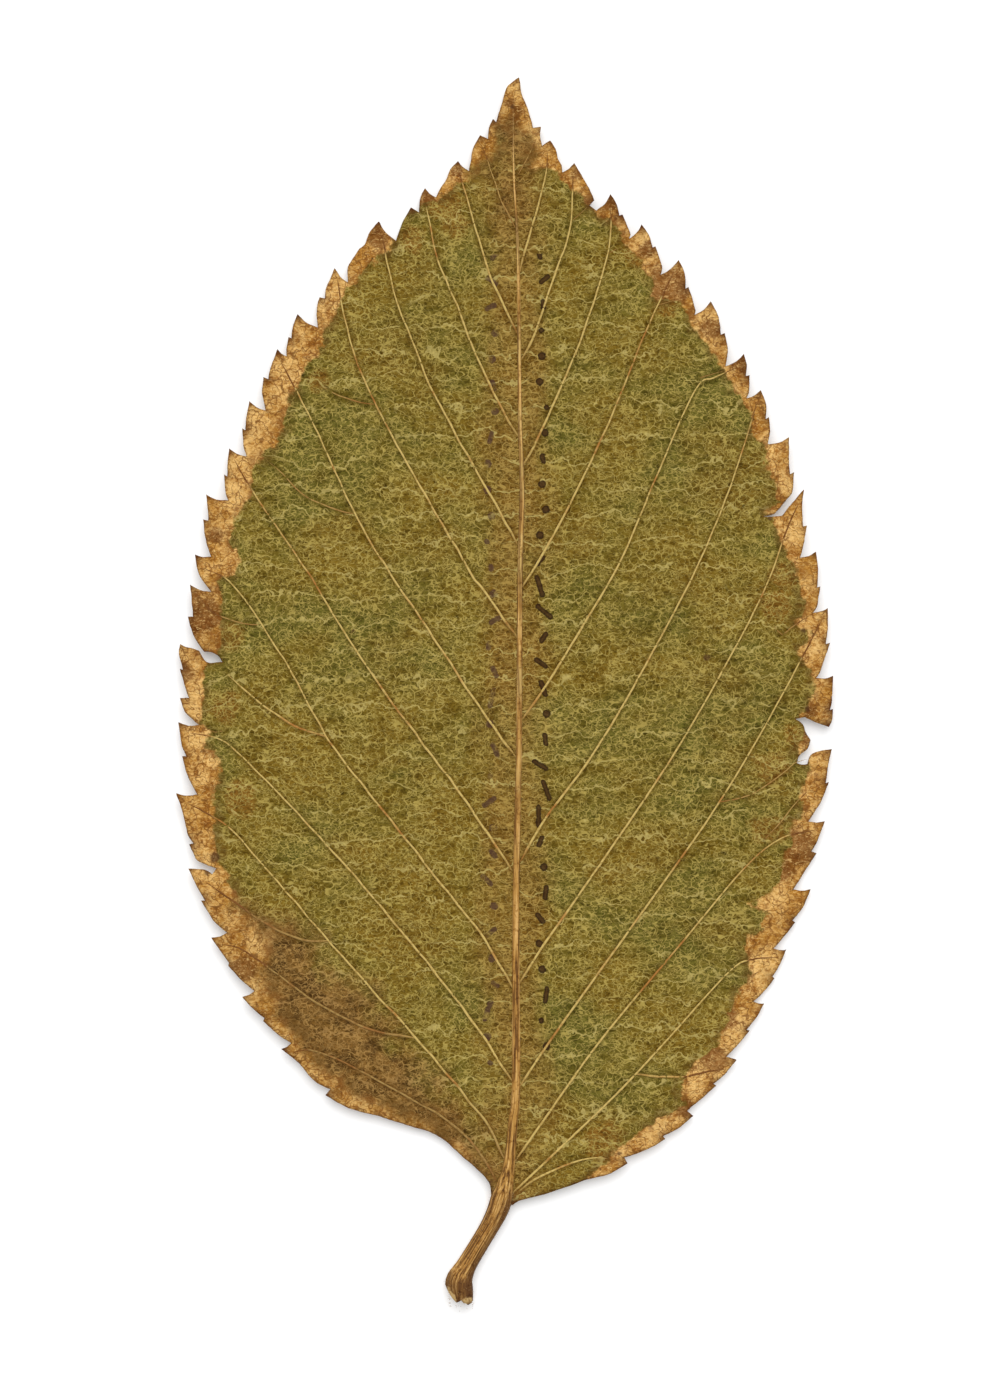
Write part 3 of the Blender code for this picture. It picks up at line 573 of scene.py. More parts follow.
def wide_cells(outline):
    """A search tree of the middles of wider cells, which the net's stronger lines bound."""
    draw = random.Random(WIDE_CELL_SEED)
    low = Vector((min(p.x for p in outline) * WIDE_CELL_SQUEEZE, min(p.y for p in outline)))
    high = Vector((max(p.x for p in outline) * WIDE_CELL_SQUEEZE, max(p.y for p in outline)))
    middles = []
    for row in range(int((high.y - low.y) / WIDE_CELL_SIZE) + 2):
        for column in range(int((high.x - low.x) / WIDE_CELL_SIZE) + 2):
            shift = Vector((draw.uniform(-0.5, 0.5), draw.uniform(-0.5, 0.5)))
            middles.append(low + (Vector((column, row)) + shift) * WIDE_CELL_SIZE)
    return point_tree(middles)


def turn(start, other):
    """The angle from one direction anticlockwise round to another."""
    return (math.atan2(other.y, other.x) - math.atan2(start.y, start.x)) % (2 * math.pi)


def net_cells(outline, seeds):
    """The net's corners, each with its strength, and rings of corners round each seed and each edge point."""
    count = len(outline)
    points, _, triangles, _, _, _ = delaunay_2d_cdt(outline + seeds, [], [list(range(count))], 1, 1e-6)
    rows = [rung_row(point) for point in points]
    wide = wide_cells(outline)
    homes = [wide.find((point.x * WIDE_CELL_SQUEEZE, point.y, 0.0))[1] for point in points]
    draw = random.Random(NET_SEED)
    corners, strengths, around = [], [], {}
    for number, triangle in enumerate(triangles):
        middle = sum((points[k] for k in triangle), Vector((0.0, 0.0))) / 3
        corners.append(middle)
        strength = max(WEAK_LINES[0], WEAK_LINES[1] * draw.random() ** 2)
        if len({homes[k] for k in triangle}) > 1:
            strength = draw.uniform(*WIDE_CELL_LINES)
        unbroken = noise.noise((middle.x * 0.35, middle.y * 0.35, 8.0)) + 0.3 > 0
        if len({rows[k] for k in triangle}) > 1 and unbroken:
            strength = RUNG_STRENGTH
        strengths.append(strength)
        for k in triangle:
            around.setdefault(k, []).append(number)
    rings = []
    half_way = len(corners)
    for i in range(count):
        corners.append((points[i] + points[(i + 1) % count]) / 2)
        strengths.append(0.0)
    at_edge = len(corners)
    corners += points[:count]
    strengths += [0.0] * count
    for seed, ring in around.items():
        place = points[seed]
        toward = points[(seed + 1) % count] - place if seed < count else Vector((1.0, 0.0))
        turns = {k: turn(toward, corners[k] - place) for k in ring}
        ring.sort(key=turns.get)
        if seed < count:
            before = half_way + (seed - 1) % count
            rings.append((None, [half_way + seed, *ring, before, at_edge + seed]))
        else:
            rings.append((place, ring))
    return corners, strengths, rings


def blade_mesh(outline, surface):
    """The blade as a closed sheet: netted above, smooth below."""
    corners, strengths, rings = net_cells(outline, net_seeds(outline, surface))
    strengths = [s * min(1.0, surface.edge_mm(*c) / NET_FADE_AT_EDGE) for s, c in zip(strengths, corners)]
    top = list(corners)
    top_net = list(strengths)
    crest = [1.0] * len(corners)
    top_faces = []
    for middle, ring in rings:
        if middle is None:
            top_faces.append(ring)
            continue
        inner = []
        for k in ring:
            inward = middle - corners[k]
            width = NET_HALF_WIDTH * (RUNG_WIDER if strengths[k] > RUNG_FROM else 1.0)
            inner.append(len(top))
            top.append(corners[k] + inward * min(0.45, width / inward.length))
            top_net.append(strengths[k])
            crest.append(0.0)
        centre = len(top)
        top.append(middle)
        top_net.append(0.0)
        crest.append(0.0)
        for i in range(len(ring)):
            j = (i + 1) % len(ring)
            top_faces += [[ring[i], ring[j], inner[j], inner[i]], [inner[i], inner[j], centre]]
    edges = {(a, b) for _, ring in rings for a, b in zip(ring, ring[1:] + ring[:1])}
    border = [(a, b) for a, b in edges if (b, a) not in edges]

    verts, rows = [], []
    for (x, y), strength, on_crest in zip(top, top_net, crest):
        rise = on_crest * (RUNG_HEIGHT if strength > RUNG_FROM else NET_HEIGHT * strength)
        height = surface.top(x, y) + rise * (0.3 + 0.7 * surface.inner(x, y))
        verts.append((x * MM, y * MM, height * MM))
        rows.append((strength, on_crest, surface.edge_mm(x, y), surface.vein_mm(x, y), 1.0))
    for (x, y), strength in zip(corners, strengths):
        height = surface.rest(x, y) + max(0.0, surface.relief(x, y))
        verts.append((x * MM, y * MM, height * MM))
        rows.append((strength, 0.0, surface.edge_mm(x, y), surface.vein_mm(x, y), 0.0))
    values = dict(zip(("net", "crest", "edge_mm", "vein_mm", "top"), zip(*rows)))
    below = len(top)
    under = [[below + k for k in reversed(ring)] for _, ring in rings]
    walls = [[b, a, below + a, below + b] for a, b in border]
    return verts, top_faces + under + walls, values


def new_object(name, verts, faces, material, smooth=True):
    """A mesh object of the scene with one material."""
    mesh = bpy.data.meshes.new(name)
    mesh.from_pydata(verts, [], faces)
    mesh.validate()
    made = bpy.data.objects.new(name, mesh)
    bpy.context.scene.collection.objects.link(made)
    mesh.materials.append(material)
    if smooth:
        mesh.shade_smooth()
    return made


def add_values(piece, values):
    """Gives each point of a piece values that its material reads by name."""
    for name, row in values.items():
        layer = piece.data.attributes.new(name, "FLOAT", "POINT")
        layer.data.foreach_set("value", np.asarray(row, dtype=np.float32))


def spots(points, places):
    """For each point, how near it is to the nearest of some round places, 1 at a place's middle."""
    best = np.zeros(len(points))
    for x, y, size in places:
        middle = plan(x, y)
        away = np.hypot(points[:, 0] - middle.x, points[:, 1] - middle.y)
        best = np.maximum(best, np.exp(-((away / size) ** 2)))
    return best


def blade(outline, surface, material):
    """The blade with the values that its colours read."""
    verts, faces, values = blade_mesh(outline, surface)
    piece = new_object("leaf_blade", verts, faces, material)
    points = np.array(verts)[:, :2] / MM
    tips = tooth_tips(outline)
    tip_tree = point_tree(tips)
    draw = random.Random(TOOTH_SEED)
    darkness = [draw.uniform(*TOOTH_DARKNESS) for _ in tips]
    tip_dark = []
    for x, y in points:
        _, nearest, distance = tip_tree.find((x, y, 0.0))
        tip_dark.append(darkness[nearest] * math.exp(-((distance / TOOTH_DARK_REACH) ** 2)))
    values["dead_mm"] = -signed_depths(points, LIVING)
    in_base, in_tip = signed_depths(points, BROWN_BASE), signed_depths(points, BROWN_TIP)
    values["brown_mm"] = np.maximum(in_base, in_tip + 0.8)
    values["dark_patch"] = spots(points, DARK_PATCHES)
    values["stain"] = spots(points, STAINS)
    values["golden"] = spots(points, GOLDEN_PATCHES)
    values["tip_dark"] = tip_dark
    add_values(piece, values)
    return piece


def onward(line, i):
    """The step from the point before one point of a line to the point after it."""
    return line[min(i + 1, len(line) - 1)] - line[max(i - 1, 0)]


def sideways(along):
    """The level direction across another one."""
    return Vector((along.y, -along.x, 0.0)).normalized()


def tube(line, sides, section):
    """Rings of a tube along 3-D points, each ring's points from section(step, angle) as across and up."""
    verts, faces = [], []
    for i, point in enumerate(line):
        across = sideways(onward(line, i))
        for k in range(sides):
            wide, high = section(i, 2 * math.pi * k / sides)
            verts.append((point + across * wide + Vector((0, 0, high))) * MM)
    for i in range(len(line) - 1):
        for k in range(sides):
            a, b = i * sides + k, i * sides + (k + 1) % sides
            faces.append([a, b, b + sides, a + sides])
    faces.append(list(range(sides))[::-1])
    faces.append([(len(line) - 1) * sides + k for k in range(sides)])
    return verts, faces


def joined(parts):
    """Several meshes' points and faces as one."""
    verts, faces = [], []
    for more_verts, more_faces in parts:
        offset = len(verts)
        verts += more_verts
        faces += [[offset + k for k in face] for face in more_faces]
    return verts, faces


def vein_plans(step):
    """The side veins and their faint forks in plan, with points about a step apart."""
    veins = LEFT_VEINS + RIGHT_VEINS + FAINT_VEINS
    return [smooth_line([plan(*point) for point in vein], step) for vein in veins]


def side_vein(flat, widths, surface, number):
    """One side vein, half sunk in the blade, thin where it leaves the midrib and towards its tooth."""
    line = []
    for point in flat:
        sway = VEIN_SWAY * noise.noise((point.x * 0.5, point.y * 0.5, number * 3.0))
        x, y = point.x + sway, point.y + sway
        line.append(Vector((x, y, surface.top(x, y))))
    wide, thin = widths

    def section(i, angle):
        last = len(line) - 1
        radius = (wide + (thin - wide) * (i / last)) / 2
        radius *= 1 + VEIN_UNEVEN * noise.noise((i * 0.35, number * 5.0, 0.0))
        radius *= min(1.0, (last - i) / 5 + 0.15) * min(1.0, 0.5 + i / 8)
        return radius * math.cos(angle), radius * VEIN_RISE * math.sin(angle) + 0.02

    return tube(line, VEIN_SIDES, section)


def side_veins(surface, material):
    """All side veins and their faint forks, with the values that their colours read."""
    parts = []
    from_root, is_fork = [], []
    main = len(LEFT_VEINS) + len(RIGHT_VEINS)
    for number, flat in enumerate(vein_plans(VEIN_STEP)):
        widths = VEIN_WIDTHS if number < main else FORK_WIDTHS
        parts.append(side_vein(flat, widths, surface, number))
        from_root += [i * VEIN_STEP for i in range(len(flat)) for _ in range(VEIN_SIDES)]
        is_fork += [float(number >= main)] * len(flat) * VEIN_SIDES
    verts, faces = joined(parts)
    piece = new_object("side_veins", verts, faces, material)
    points = np.array([vert[:2] for vert in verts]) / MM
    brown, dead = signed_depths(points, BROWN_BASE), -signed_depths(points, LIVING)
    add_values(piece, {"brown_mm": brown, "dead_mm": dead, "root_mm": from_root, "fork": is_fork})
    return piece


def stem_line(surface):
    """The midrib and stalk's centre points with their diameters."""
    stations = smooth_line([Vector(station) for station in STEM], MIDRIB_STEP)
    line = []
    for x, y, diameter in stations:
        point = plan(x, y)
        above_blade = surface.rest(point.x, point.y) + STALK_ABOVE_BLADE
        free = max(above_blade, diameter * 0.45 + STALK_ABOVE_FLOOR)
        share = min(1.0, max(0.0, (y - STALK_FROM_Y + STALK_BLEND / 2) / STALK_BLEND))
        height = surface.top(point.x, point.y) * (1 - share) + free * share
        line.append((Vector((point.x, point.y, height)), diameter, share))
    return line


def foot_end(x):
    """How far down the sheet the broken foot reaches at a place across it."""
    return float(np.interp(x, [place[0] for place in FOOT_END], [place[1] for place in FOOT_END]))


def midrib_and_stalk(line, material):
    """The midrib and stalk with long grooves, and a ragged broken foot."""
    points = [row[0] for row in line]
    last = len(line) - 1

    def section(i, angle):
        _, diameter, free = line[i]
        groove = 0.05 * math.cos(7 * angle + 0.9) + 0.07 * noise.noise((angle * 1.7, i * 0.06, 2.0))
        groove += 0.05 * noise.noise((math.cos(angle) * 4.0, math.sin(angle) * 4.0, i * 0.04))
        lump = 0.16 * noise.noise((math.cos(angle) * 2.2, math.sin(angle) * 2.2, i * 0.5))
        groove += lump * max(0.0, 1 - (last - i) / 6)
        radius = diameter / 2 * (1 + groove * (0.4 + 0.8 * free))
        radius *= min(1.0, i / 12 + 0.25)
        return radius * math.cos(angle), radius * MIDRIB_FLATNESS * math.sin(angle)

    verts, faces = tube(points, MIDRIB_SIDES, section)
    faces.pop()
    draw = random.Random(FOOT_SEED)
    ring = [last * MIDRIB_SIDES + k for k in range(MIDRIB_SIDES)]
    along = (points[-1] - points[-2]).normalized()
    for k in range(len(verts)):
        lowest = plan(0, foot_end(verts[k].x / MM + SHEET_X)).y
        lowest += draw.uniform(-FOOT_ROUGHNESS, FOOT_ROUGHNESS)
        verts[k].y = max(verts[k].y, lowest * MM)
    centre = sum((verts[k] for k in ring), Vector()) / MIDRIB_SIDES
    inner = []
    for k in ring:
        inner.append(len(verts))
        verts.append(verts[k].lerp(centre, 0.35) - along * draw.uniform(0.1, 0.35) * MM)
    middle = len(verts)
    verts.append(centre - along * 0.15 * MM)
    for k in range(MIDRIB_SIDES):
        j = (k + 1) % MIDRIB_SIDES
        faces += [[ring[k], ring[j], inner[j], inner[k]], [inner[k], inner[j], middle]]
    piece = new_object("midrib_and_stalk", verts, faces, material)
    steps = [i for i in range(last + 1) for _ in range(MIDRIB_SIDES)] + [last] * (len(inner) + 1)
    angles = [2 * math.pi * k / MIDRIB_SIDES for k in range(MIDRIB_SIDES)] * (last + 2) + [0.0]
    from_end = [foot_end(v.x / MM + SHEET_X) - (SHEET_Y - v.y / MM) for v in verts[:inner[0]]]
    add_values(piece, {
        "end_mm": from_end + [-0.5] * (len(inner) + 1),
        "torn": spots(np.array([v[:2] for v in verts]) / MM, TORN_PLACES),
        "stalk": [line[i][2] for i in steps],
        "girth": [line[i][1] for i in steps],
        "side_x": [math.cos(angle) for angle in angles],
        "side_z": [math.sin(angle) for angle in angles],
    })
    return piece


def spike(start, end, radius):
    """A thin three-sided hair."""
    along = (end - start).normalized()
    side = along.orthogonal().normalized()
    turns = [Matrix.Rotation(2 * math.pi * k / HAIR_SIDES, 3, along) for k in range(HAIR_SIDES)]
    verts = [(start + rotation @ side * radius) * MM for rotation in turns]
    verts.append(end * MM)
    faces = [[k, (k + 1) % HAIR_SIDES, HAIR_SIDES] for k in range(HAIR_SIDES)]
    faces.append(list(range(HAIR_SIDES))[::-1])
    return verts, faces


def hairs(line, material):
    """Short hairs along the stalk and the lower midrib."""
    draw = random.Random(HAIR_SEED)
    parts = []
    points = [row[0] for row in line]
    on_stalk = [i for i, row in enumerate(line) if row[2] > 0.3]
    for _ in range(STALK_HAIRS):
        i = draw.choice(on_stalk)
        point, diameter, _ = line[i]
        angle = draw.uniform(-0.15, 1.15) * math.pi
        along = onward(points, i).normalized()
        out = sideways(along) * math.cos(angle) + Vector((0, 0, 1)) * math.sin(angle)
        start = point + out * diameter * 0.46 + along * draw.uniform(-0.4, 0.4)
        length = draw.uniform(0.15, 0.42)
        lean = along * draw.uniform(-0.9, 0.9)
        parts.append(spike(start, start + (out + lean).normalized() * length, STALK_HAIR_RADIUS))
    on_midrib = [row for row in line if row[2] == 0.0 and row[1] > 0.5]
    for _ in range(MIDRIB_HAIRS):
        point, diameter, _ = draw.choice(on_midrib)
        side = draw.choice((-1, 1))
        start = point + Vector((side * diameter * 0.42, draw.uniform(-0.3, 0.3), 0.08))
        out = Vector((side, draw.uniform(-0.8, 0.8), draw.uniform(0.1, 0.5))).normalized()
        parts.append(spike(start, start + out * draw.uniform(0.12, 0.34), MIDRIB_HAIR_RADIUS))
    verts, faces = joined(parts)
    return new_object("hairs", verts, faces, material, smooth=False)


class Value:
    """A number that a material's nodes work out, for use in plain sums. Shares run from 0 to 1."""

    def __init__(self, nodes, socket):
        self.nodes = nodes
        self.socket = socket

    def math(self, operation, other=None):
        return self.nodes.math(operation, self, other)

    def __add__(self, other):
        return self.math("ADD", other)

    def __sub__(self, other):
        return self.math("SUBTRACT", other)

    def __rsub__(self, other):
        return self.nodes.math("SUBTRACT", other, self)

    def __mul__(self, other):
        return self.math("MULTIPLY", other)

    def __truediv__(self, other):
        return self.math("DIVIDE", other)

    def __abs__(self):
        return self.math("ABSOLUTE")

    def or_more(self, *others):
        """The largest of this and several others."""
        largest = self
        for other in others:
            largest = largest.math("MAXIMUM", other)
        return largest

    def step(self, low, high):
        """0 below low, 1 above high, smooth between."""
        ends = (self, low, high, 0.0, 1.0)
        return self.nodes.number("ShaderNodeMapRange", ends, interpolation_type="SMOOTHSTEP")


class Nodes:
    """Short calls that add shader nodes to one material."""

    def __init__(self, name):
        self.material = bpy.data.materials.new(name)
        self.material.use_nodes = True
        self.tree = self.material.node_tree
        self.shader = self.tree.nodes["Principled BSDF"]

    def put(self, socket, value):
        """Links a value to a socket, or sets it there."""
        if isinstance(value, Value):
            value = value.socket
        if isinstance(value, bpy.types.NodeSocket):
            self.tree.links.new(value, socket)
        elif value is not None:
            socket.default_value = value

    def add(self, kind, inputs=(), **settings):
        """A node with its settings and inputs, which are in their order or by their names or numbers."""
        node = self.tree.nodes.new(kind)
        for name, value in settings.items():
            setattr(node, name, value)
        for place, value in inputs.items() if isinstance(inputs, dict) else enumerate(inputs):
            self.put(node.inputs[place], value)
        return node

    def number(self, kind, inputs, output=0, **settings):
        return Value(self, self.add(kind, inputs, **settings).outputs[output])

    def math(self, operation, a, b=None, clamp=False):
        return self.number("ShaderNodeMath", (a, b), operation=operation, use_clamp=clamp)

    def mix(self, share, a, b, blend="MIX"):
        inputs = {0: share, 6: a, 7: b}
        return self.add("ShaderNodeMix", inputs, data_type="RGBA", blend_type=blend).outputs[2]

    def tint(self, colour, *layers):
        """The colour with layers of a hue and its share over it. Any of them may be a named colour."""
        colour = seen(*colour) if isinstance(colour, tuple) else colour
        for hue, share in layers:
            colour = self.mix(share, colour, seen(*hue) if isinstance(hue, tuple) else hue)
        return colour

    def darken(self, colour, factors, share):
        """The colour multiplied by factors of red, green and blue, by a share."""
        return self.mix(share, colour, (*factors, 1.0), "MULTIPLY")

    def value(self, name):
        return self.number("ShaderNodeAttribute", (), "Fac", attribute_name=name)

    def vector_math(self, operation, a, b):
        return self.add("ShaderNodeVectorMath", (a, b), operation=operation).outputs[0]

    def place_mm(self, stretch=(1.0, 1.0, 1.0)):
        """Where the point lies on the object, in millimetres, stretched."""
        place = self.add("ShaderNodeTexCoord").outputs["Object"]
        return self.vector_math("MULTIPLY", place, tuple(s / MM for s in stretch))

    def moved(self, place, x, y):
        return self.vector_math("ADD", place, (x, y, 0.0))

    def axes(self, place):
        """The place's x and y."""
        return [Value(self, axis) for axis in self.add("ShaderNodeSeparateXYZ", (place,)).outputs[:2]]

    def noise(self, place, scale, detail=2.0, roughness=0.5, distortion=0.0):
        inputs = {"Scale": scale, "Detail": detail, "Roughness": roughness, "Distortion": distortion}
        return self.number("ShaderNodeTexNoise", {"Vector": place, **inputs}, "Fac")

    def spread(self, place, scale, detail, width):
        """A noise about zero, its whole range as wide as given."""
        return (self.noise(place, scale, detail, 0.6) - 0.5) * width

    def patchy(self, place, scale, low, high, detail=2.0, roughness=0.5):
        """Soft-edged patches: a noise's step from low to high."""
        return self.noise(place, scale, detail, roughness).step(low, high)

    def curls(self, place, scale, width, shift, detail=1.0):
        """Thin curly threads: the lines along which a noise passes its middle value."""
        level = self.noise(self.moved(place, shift, shift * 0.7), scale, detail, 0.55)
        return 1.0 - abs(level - 0.5).step(width * 0.35, width)

    def bump(self, height, strength, distance_mm):
        inputs = {"Strength": strength, "Distance": distance_mm * MM, "Height": height}
        self.put(self.shader.inputs["Normal"], self.add("ShaderNodeBump", inputs).outputs[0])

    def finish(self, colour, roughness, specular):
        """The material, with the shader's own even roughness and specular level."""
        self.put(self.shader.inputs["Base Color"], colour)
        self.shader.inputs["Roughness"].default_value = roughness
        self.shader.inputs["Specular IOR Level"].default_value = specular
        return self.material


class BladeNodes(Nodes):
    """The dry blade's material: most methods put one layer over the colour that they are given."""

    def __init__(self):
        super().__init__("leaf_blade")
        self.place = self.place_mm()
        self.wide = self.place_mm((0.6, 1.0, 1.0))
        self.x, self.y = self.axes(self.place)
        self.to_midrib = abs(self.x - plan(MIDRIB_X, 0).x)
        uneven = self.spread(self.place_mm((1.0, 0.4, 1.0)), 0.22, 4.0, 9.0)
        self.centre = 1.0 - (self.to_midrib + uneven).step(0.6, 5.0)
        brown = self.value("brown_mm") + self.spread(self.place, 0.28, 5.0, 9.0)
        self.brown = brown.step(-1.2, 3.4) * 0.88
        # 0 at a side vein and 1 from about 0.6 mm away: where the painted shade beside the veins ends
        self.clear_of_vein_shade = self.value("vein_mm").step(0.12, 0.62)
        self.felt = self.noise(self.wide, 4.2, 2.0, 0.7, 1.0)
        self.dark_felt = self.felt.step(0.53, 0.36)
        self.light_felt = self.felt.step(0.53, 0.66)

    def patches(self):
        """Olive, greener, brown and golden patches of several millimetres, with painted shade beside the side
        veins.
        """
        place, wide = self.place, self.wide
        greener = self.patchy(wide, 0.11, 0.36, 0.64, 4.0, 0.62)
        browner = self.patchy(self.moved(wide, 40.0, 0.0), 0.16, 0.48, 0.70, 4.0, 0.6) * 0.6
        browns = self.tint(DARK_BROWN, (LIGHT_BROWN, self.patchy(place, 0.5, 0.40, 0.62, 4.0, 0.65)))
        golden = (self.value("golden") + self.spread(place, 0.7, 4.0, 1.2)).step(0.25, 0.75) * 0.65
        colour = self.tint(
            OLIVE,
            (GREENER, greener),
            (BROWNER, browner),
            (BY_MIDRIB, self.centre * 0.7),
            (browns, self.brown),
            (GOLDEN, golden),
        )
        colour = self.darken(colour, (0.76, 0.74, 0.62), self.patchy(wide, 0.9, 0.52, 0.36, 3.0, 0.6))
        # Painted shade along both sides of each side vein, standing in for the raised vein's shadow
        return self.darken(colour, (0.76, 0.69, 0.56), (1.0 - self.clear_of_vein_shade) * 0.8)

    def threads(self):
        """Curly threads all over, and ones that lie across the blade near the midrib."""
        place, wide = self.place, self.wide
        long = self.curls(wide, 0.85, 0.020, 0.0) * self.patchy(place, 0.6, 0.40, 0.52)
        short = self.curls(place, 1.2, 0.025, 17.0) * self.patchy(place, 0.8, 0.60, 0.48)
        fine = self.curls(wide, 2.2, 0.034, 31.0) * self.patchy(wide, 0.9, 0.36, 0.48)
        dashes = self.curls(wide, 3.4, 0.040, 43.0) * self.patchy(wide, 1.8, 0.48, 0.60)
        near = 1.0 - self.to_midrib.step(1.0, 4.5)
        combed = self.curls(self.place_mm((0.4, 1.5, 1.0)), 0.9, 0.034, 5.0, 2.0) * near
        return long.or_more(short, fine, dashes, combed * self.patchy(place, 0.7, 0.42, 0.56))

    def cross_threads(self):
        """Wavy pale lines across the blade, broken off here and there."""
        level = self.y + self.spread(self.place, 0.30, 2.0, 4.5) + self.spread(self.place, 1.3, 2.0, 1.3)
        wave = (level / CROSS_THREAD_SPACING).math("PINGPONG", 0.5)
        return wave.step(0.455, 0.480) * self.patchy(self.place_mm((0.7, 1.0, 1.0)), 0.38, 0.42, 0.50)

    def felted(self, colour, threads):
        """Felt of a few tenths of a millimetre, with pale threads and the net's pale lines."""
        colour = self.darken(colour, (0.48, 0.46, 0.34), self.dark_felt)
        felt = self.tint(PALE_FELT, (PALE_FELT_IN_BROWN, self.brown))
        line = self.value("crest").step(0.52, 0.92) * self.value("net").step(0.20, 0.90)
        line *= self.patchy(self.place, 1.3, 0.42, 0.54) * 0.50 + 0.30
        thread = self.tint(THREAD, (THREAD_IN_BROWN, self.brown), (THREAD_BY_MIDRIB, self.centre * 0.5))
        crossing = self.tint(CROSS_THREAD, (CROSS_THREAD_IN_BROWN, self.brown))
        # Fewer pale threads next to the side veins, which widens the painted shade beside them
        clear = self.clear_of_vein_shade * 0.65 + 0.35
        return self.tint(
            colour,
            (felt, self.light_felt * 0.20),
            (thread, threads * 0.72 * clear),
            (thread, line * clear),
            (crossing, self.cross_threads() * 0.70),
        )

    def with_dead_band(self, colour):
        """A dead tan band along the edge, soft where it meets the brown patch."""
        place = self.place
        dead = self.value("dead_mm") + self.spread(place, 0.8, 5.0, 2.2)
        share = dead.step(-0.16, 0.22)
        blotched = (dead + self.spread(place, 0.45, 5.0, 5.0)).step(-0.8, 1.6)
        share += (blotched * 0.9 - share) * self.value("brown_mm").step(-0.4, 0.8)
        fringe = dead.step(-1.2, -0.05) * self.patchy(place, 0.5, 0.38, 0.62)
        band = self.tint(TAN, (PALE_TAN, self.patchy(place, 0.33, 0.36, 0.62, 3.0, 0.6)))
        dark = self.value("dark_patch") + self.spread(place, 0.9, 4.0, 1.0)
        band = self.darken(band, (0.46, 0.38, 0.34), dark.step(0.26, 0.62))
        shaded = self.patchy(self.moved(place, 9.0, 3.0), 0.8, 0.48, 0.66, 4.0, 0.7)
        band = self.darken(band, (0.58, 0.44, 0.28), shaded)
        band = self.darken(band, (0.72, 0.62, 0.46), self.dark_felt)
        veinlets = self.curls(place, 0.45, 0.013, 30.0, 2.0).or_more(self.curls(place, 0.8, 0.018, 50.0))
        rust = dead.step(1.1, 0.1) * self.patchy(place, 0.9, 0.48, 0.62, 3.0, 0.6)
        flecks = self.patchy(place, 2.0, 0.54, 0.63, 3.0, 0.75)
        band = self.tint(
            band,
            (TAN_FELT, self.light_felt * 0.6),
            (VEINLET, veinlets * 0.75),
            (RUST, rust * 0.75),
            (FLECK, flecks * 0.65),
        )
        return self.tint(colour, (FRINGE, fringe * 0.6), (band, share))

    def with_rim(self, colour):
        """A darker rim, dark tooth tips and a few stains."""
        rim = 1.0 - self.value("edge_mm").step(0.02, 0.24)
        tips = self.math("MULTIPLY", self.value("tip_dark"), 0.95, clamp=True)
        stain = (self.value("stain") + self.spread(self.place, 1.6, 3.0, 0.5)).step(0.3, 0.7)
        return self.tint(colour, (RIM, rim * 0.6), (TOOTH_TIP, tips), (STAIN, stain * 0.75))

    def ink_column(self, sheet_x, spacing, seed):
        """A column of plain dots and slanted dashes: how much ink, and how far inside a mark."""
        shifted = self.y / spacing + seed * 0.37
        row = shifted.math("FLOOR")
        white = self.add("ShaderNodeTexWhiteNoise", {"W": row + seed * 100.0}, noise_dimensions="1D")
        draws = self.add("ShaderNodeSeparateColor", (white.outputs["Color"],)).outputs
        turned, length, drift = (Value(self, draw) for draw in draws)
        local_y = (shifted - row - 0.5) * spacing
        local_x = self.x - ((drift - 0.5) * 0.9 + plan(sheet_x, 0).x)
        angle = (turned - 0.5) * 2.2
        cosine, sine = angle.math("COSINE"), angle.math("SINE")
        along = local_y * cosine + local_x * sine
        across = local_x * cosine - local_y * sine
        half = (length * 1.5 - 0.55).or_more(0.0)
        over = (abs(along) - half).or_more(0.0)
        distance = (over.math("POWER", 2.0) + across.math("POWER", 2.0)).math("SQRT")
        radius = half.math("LESS_THAN", 0.02) * 0.14 + 0.25 + self.spread(self.place, 2.2, 3.0, 0.30)
        outside = distance - radius
        return 1.0 - outside.step(-0.04, 0.06), outside.step(-0.08, -0.20)

    def inked(self, colour):
        """Two columns of plain ink marks beside the midrib, the left one faded."""
        from_middle = abs(self.y - plan(0, INK_MIDDLE_Y).y)
        on_top = self.value("top") * from_middle.math("LESS_THAN", INK_REACH)
        ink, inside = self.ink_column(*INK_RIGHT, 1)
        marks = self.tint(INK, (INK_INSIDE, inside * 0.6))
        left_ink, _ = self.ink_column(*INK_LEFT, 2)
        faded = self.patchy(self.place, 0.9, 0.25, 0.55, 3.0) * 0.8
        return self.tint(colour, (marks, ink * on_top * 0.92), (INK_FADED, left_ink * on_top * faded))


def blade_material():
    """The blade's layers from the olive patches up to the ink, and its bump."""
    nodes = BladeNodes()
    threads = nodes.threads()
    colour = nodes.felted(nodes.patches(), threads)
    colour = nodes.inked(nodes.with_rim(nodes.with_dead_band(colour)))
    nodes.bump(nodes.felt + threads * 0.6, 0.8, 0.09)
    return nodes.finish(colour, 0.9, 0.06)


def vein_material():
    """Side veins: pale, with orange-brown stretches, darker at the midrib and in the dead band."""
    nodes = Nodes("side_vein")
    place = nodes.place_mm()
    dead = nodes.value("dead_mm") + nodes.spread(place, 1.1, 4.0, 1.3)
    colour = nodes.tint(
        VEIN,
        (VEIN_ORANGE, nodes.patchy(place, 0.22, 0.52, 0.66, 4.0, 0.65)),
        (VEIN_ROOT, (1.0 - nodes.value("root_mm").step(0.6, 3.5)) * 0.6),
        (VEIN_FORK, nodes.value("fork") * 0.55),
        (VEIN_IN_BROWN, nodes.value("brown_mm").step(-0.2, 1.2) * 0.65),
        (VEIN_DEAD, dead.step(-0.3, 0.3)),
    )
    grain = nodes.noise(place, 2.6, 3.0, 0.7)
    colour = nodes.darken(colour, (0.72, 0.66, 0.55), grain.step(0.52, 0.38))
    nodes.bump(grain, 0.5, 0.06)
    return nodes.finish(colour, 0.7, 0.12)


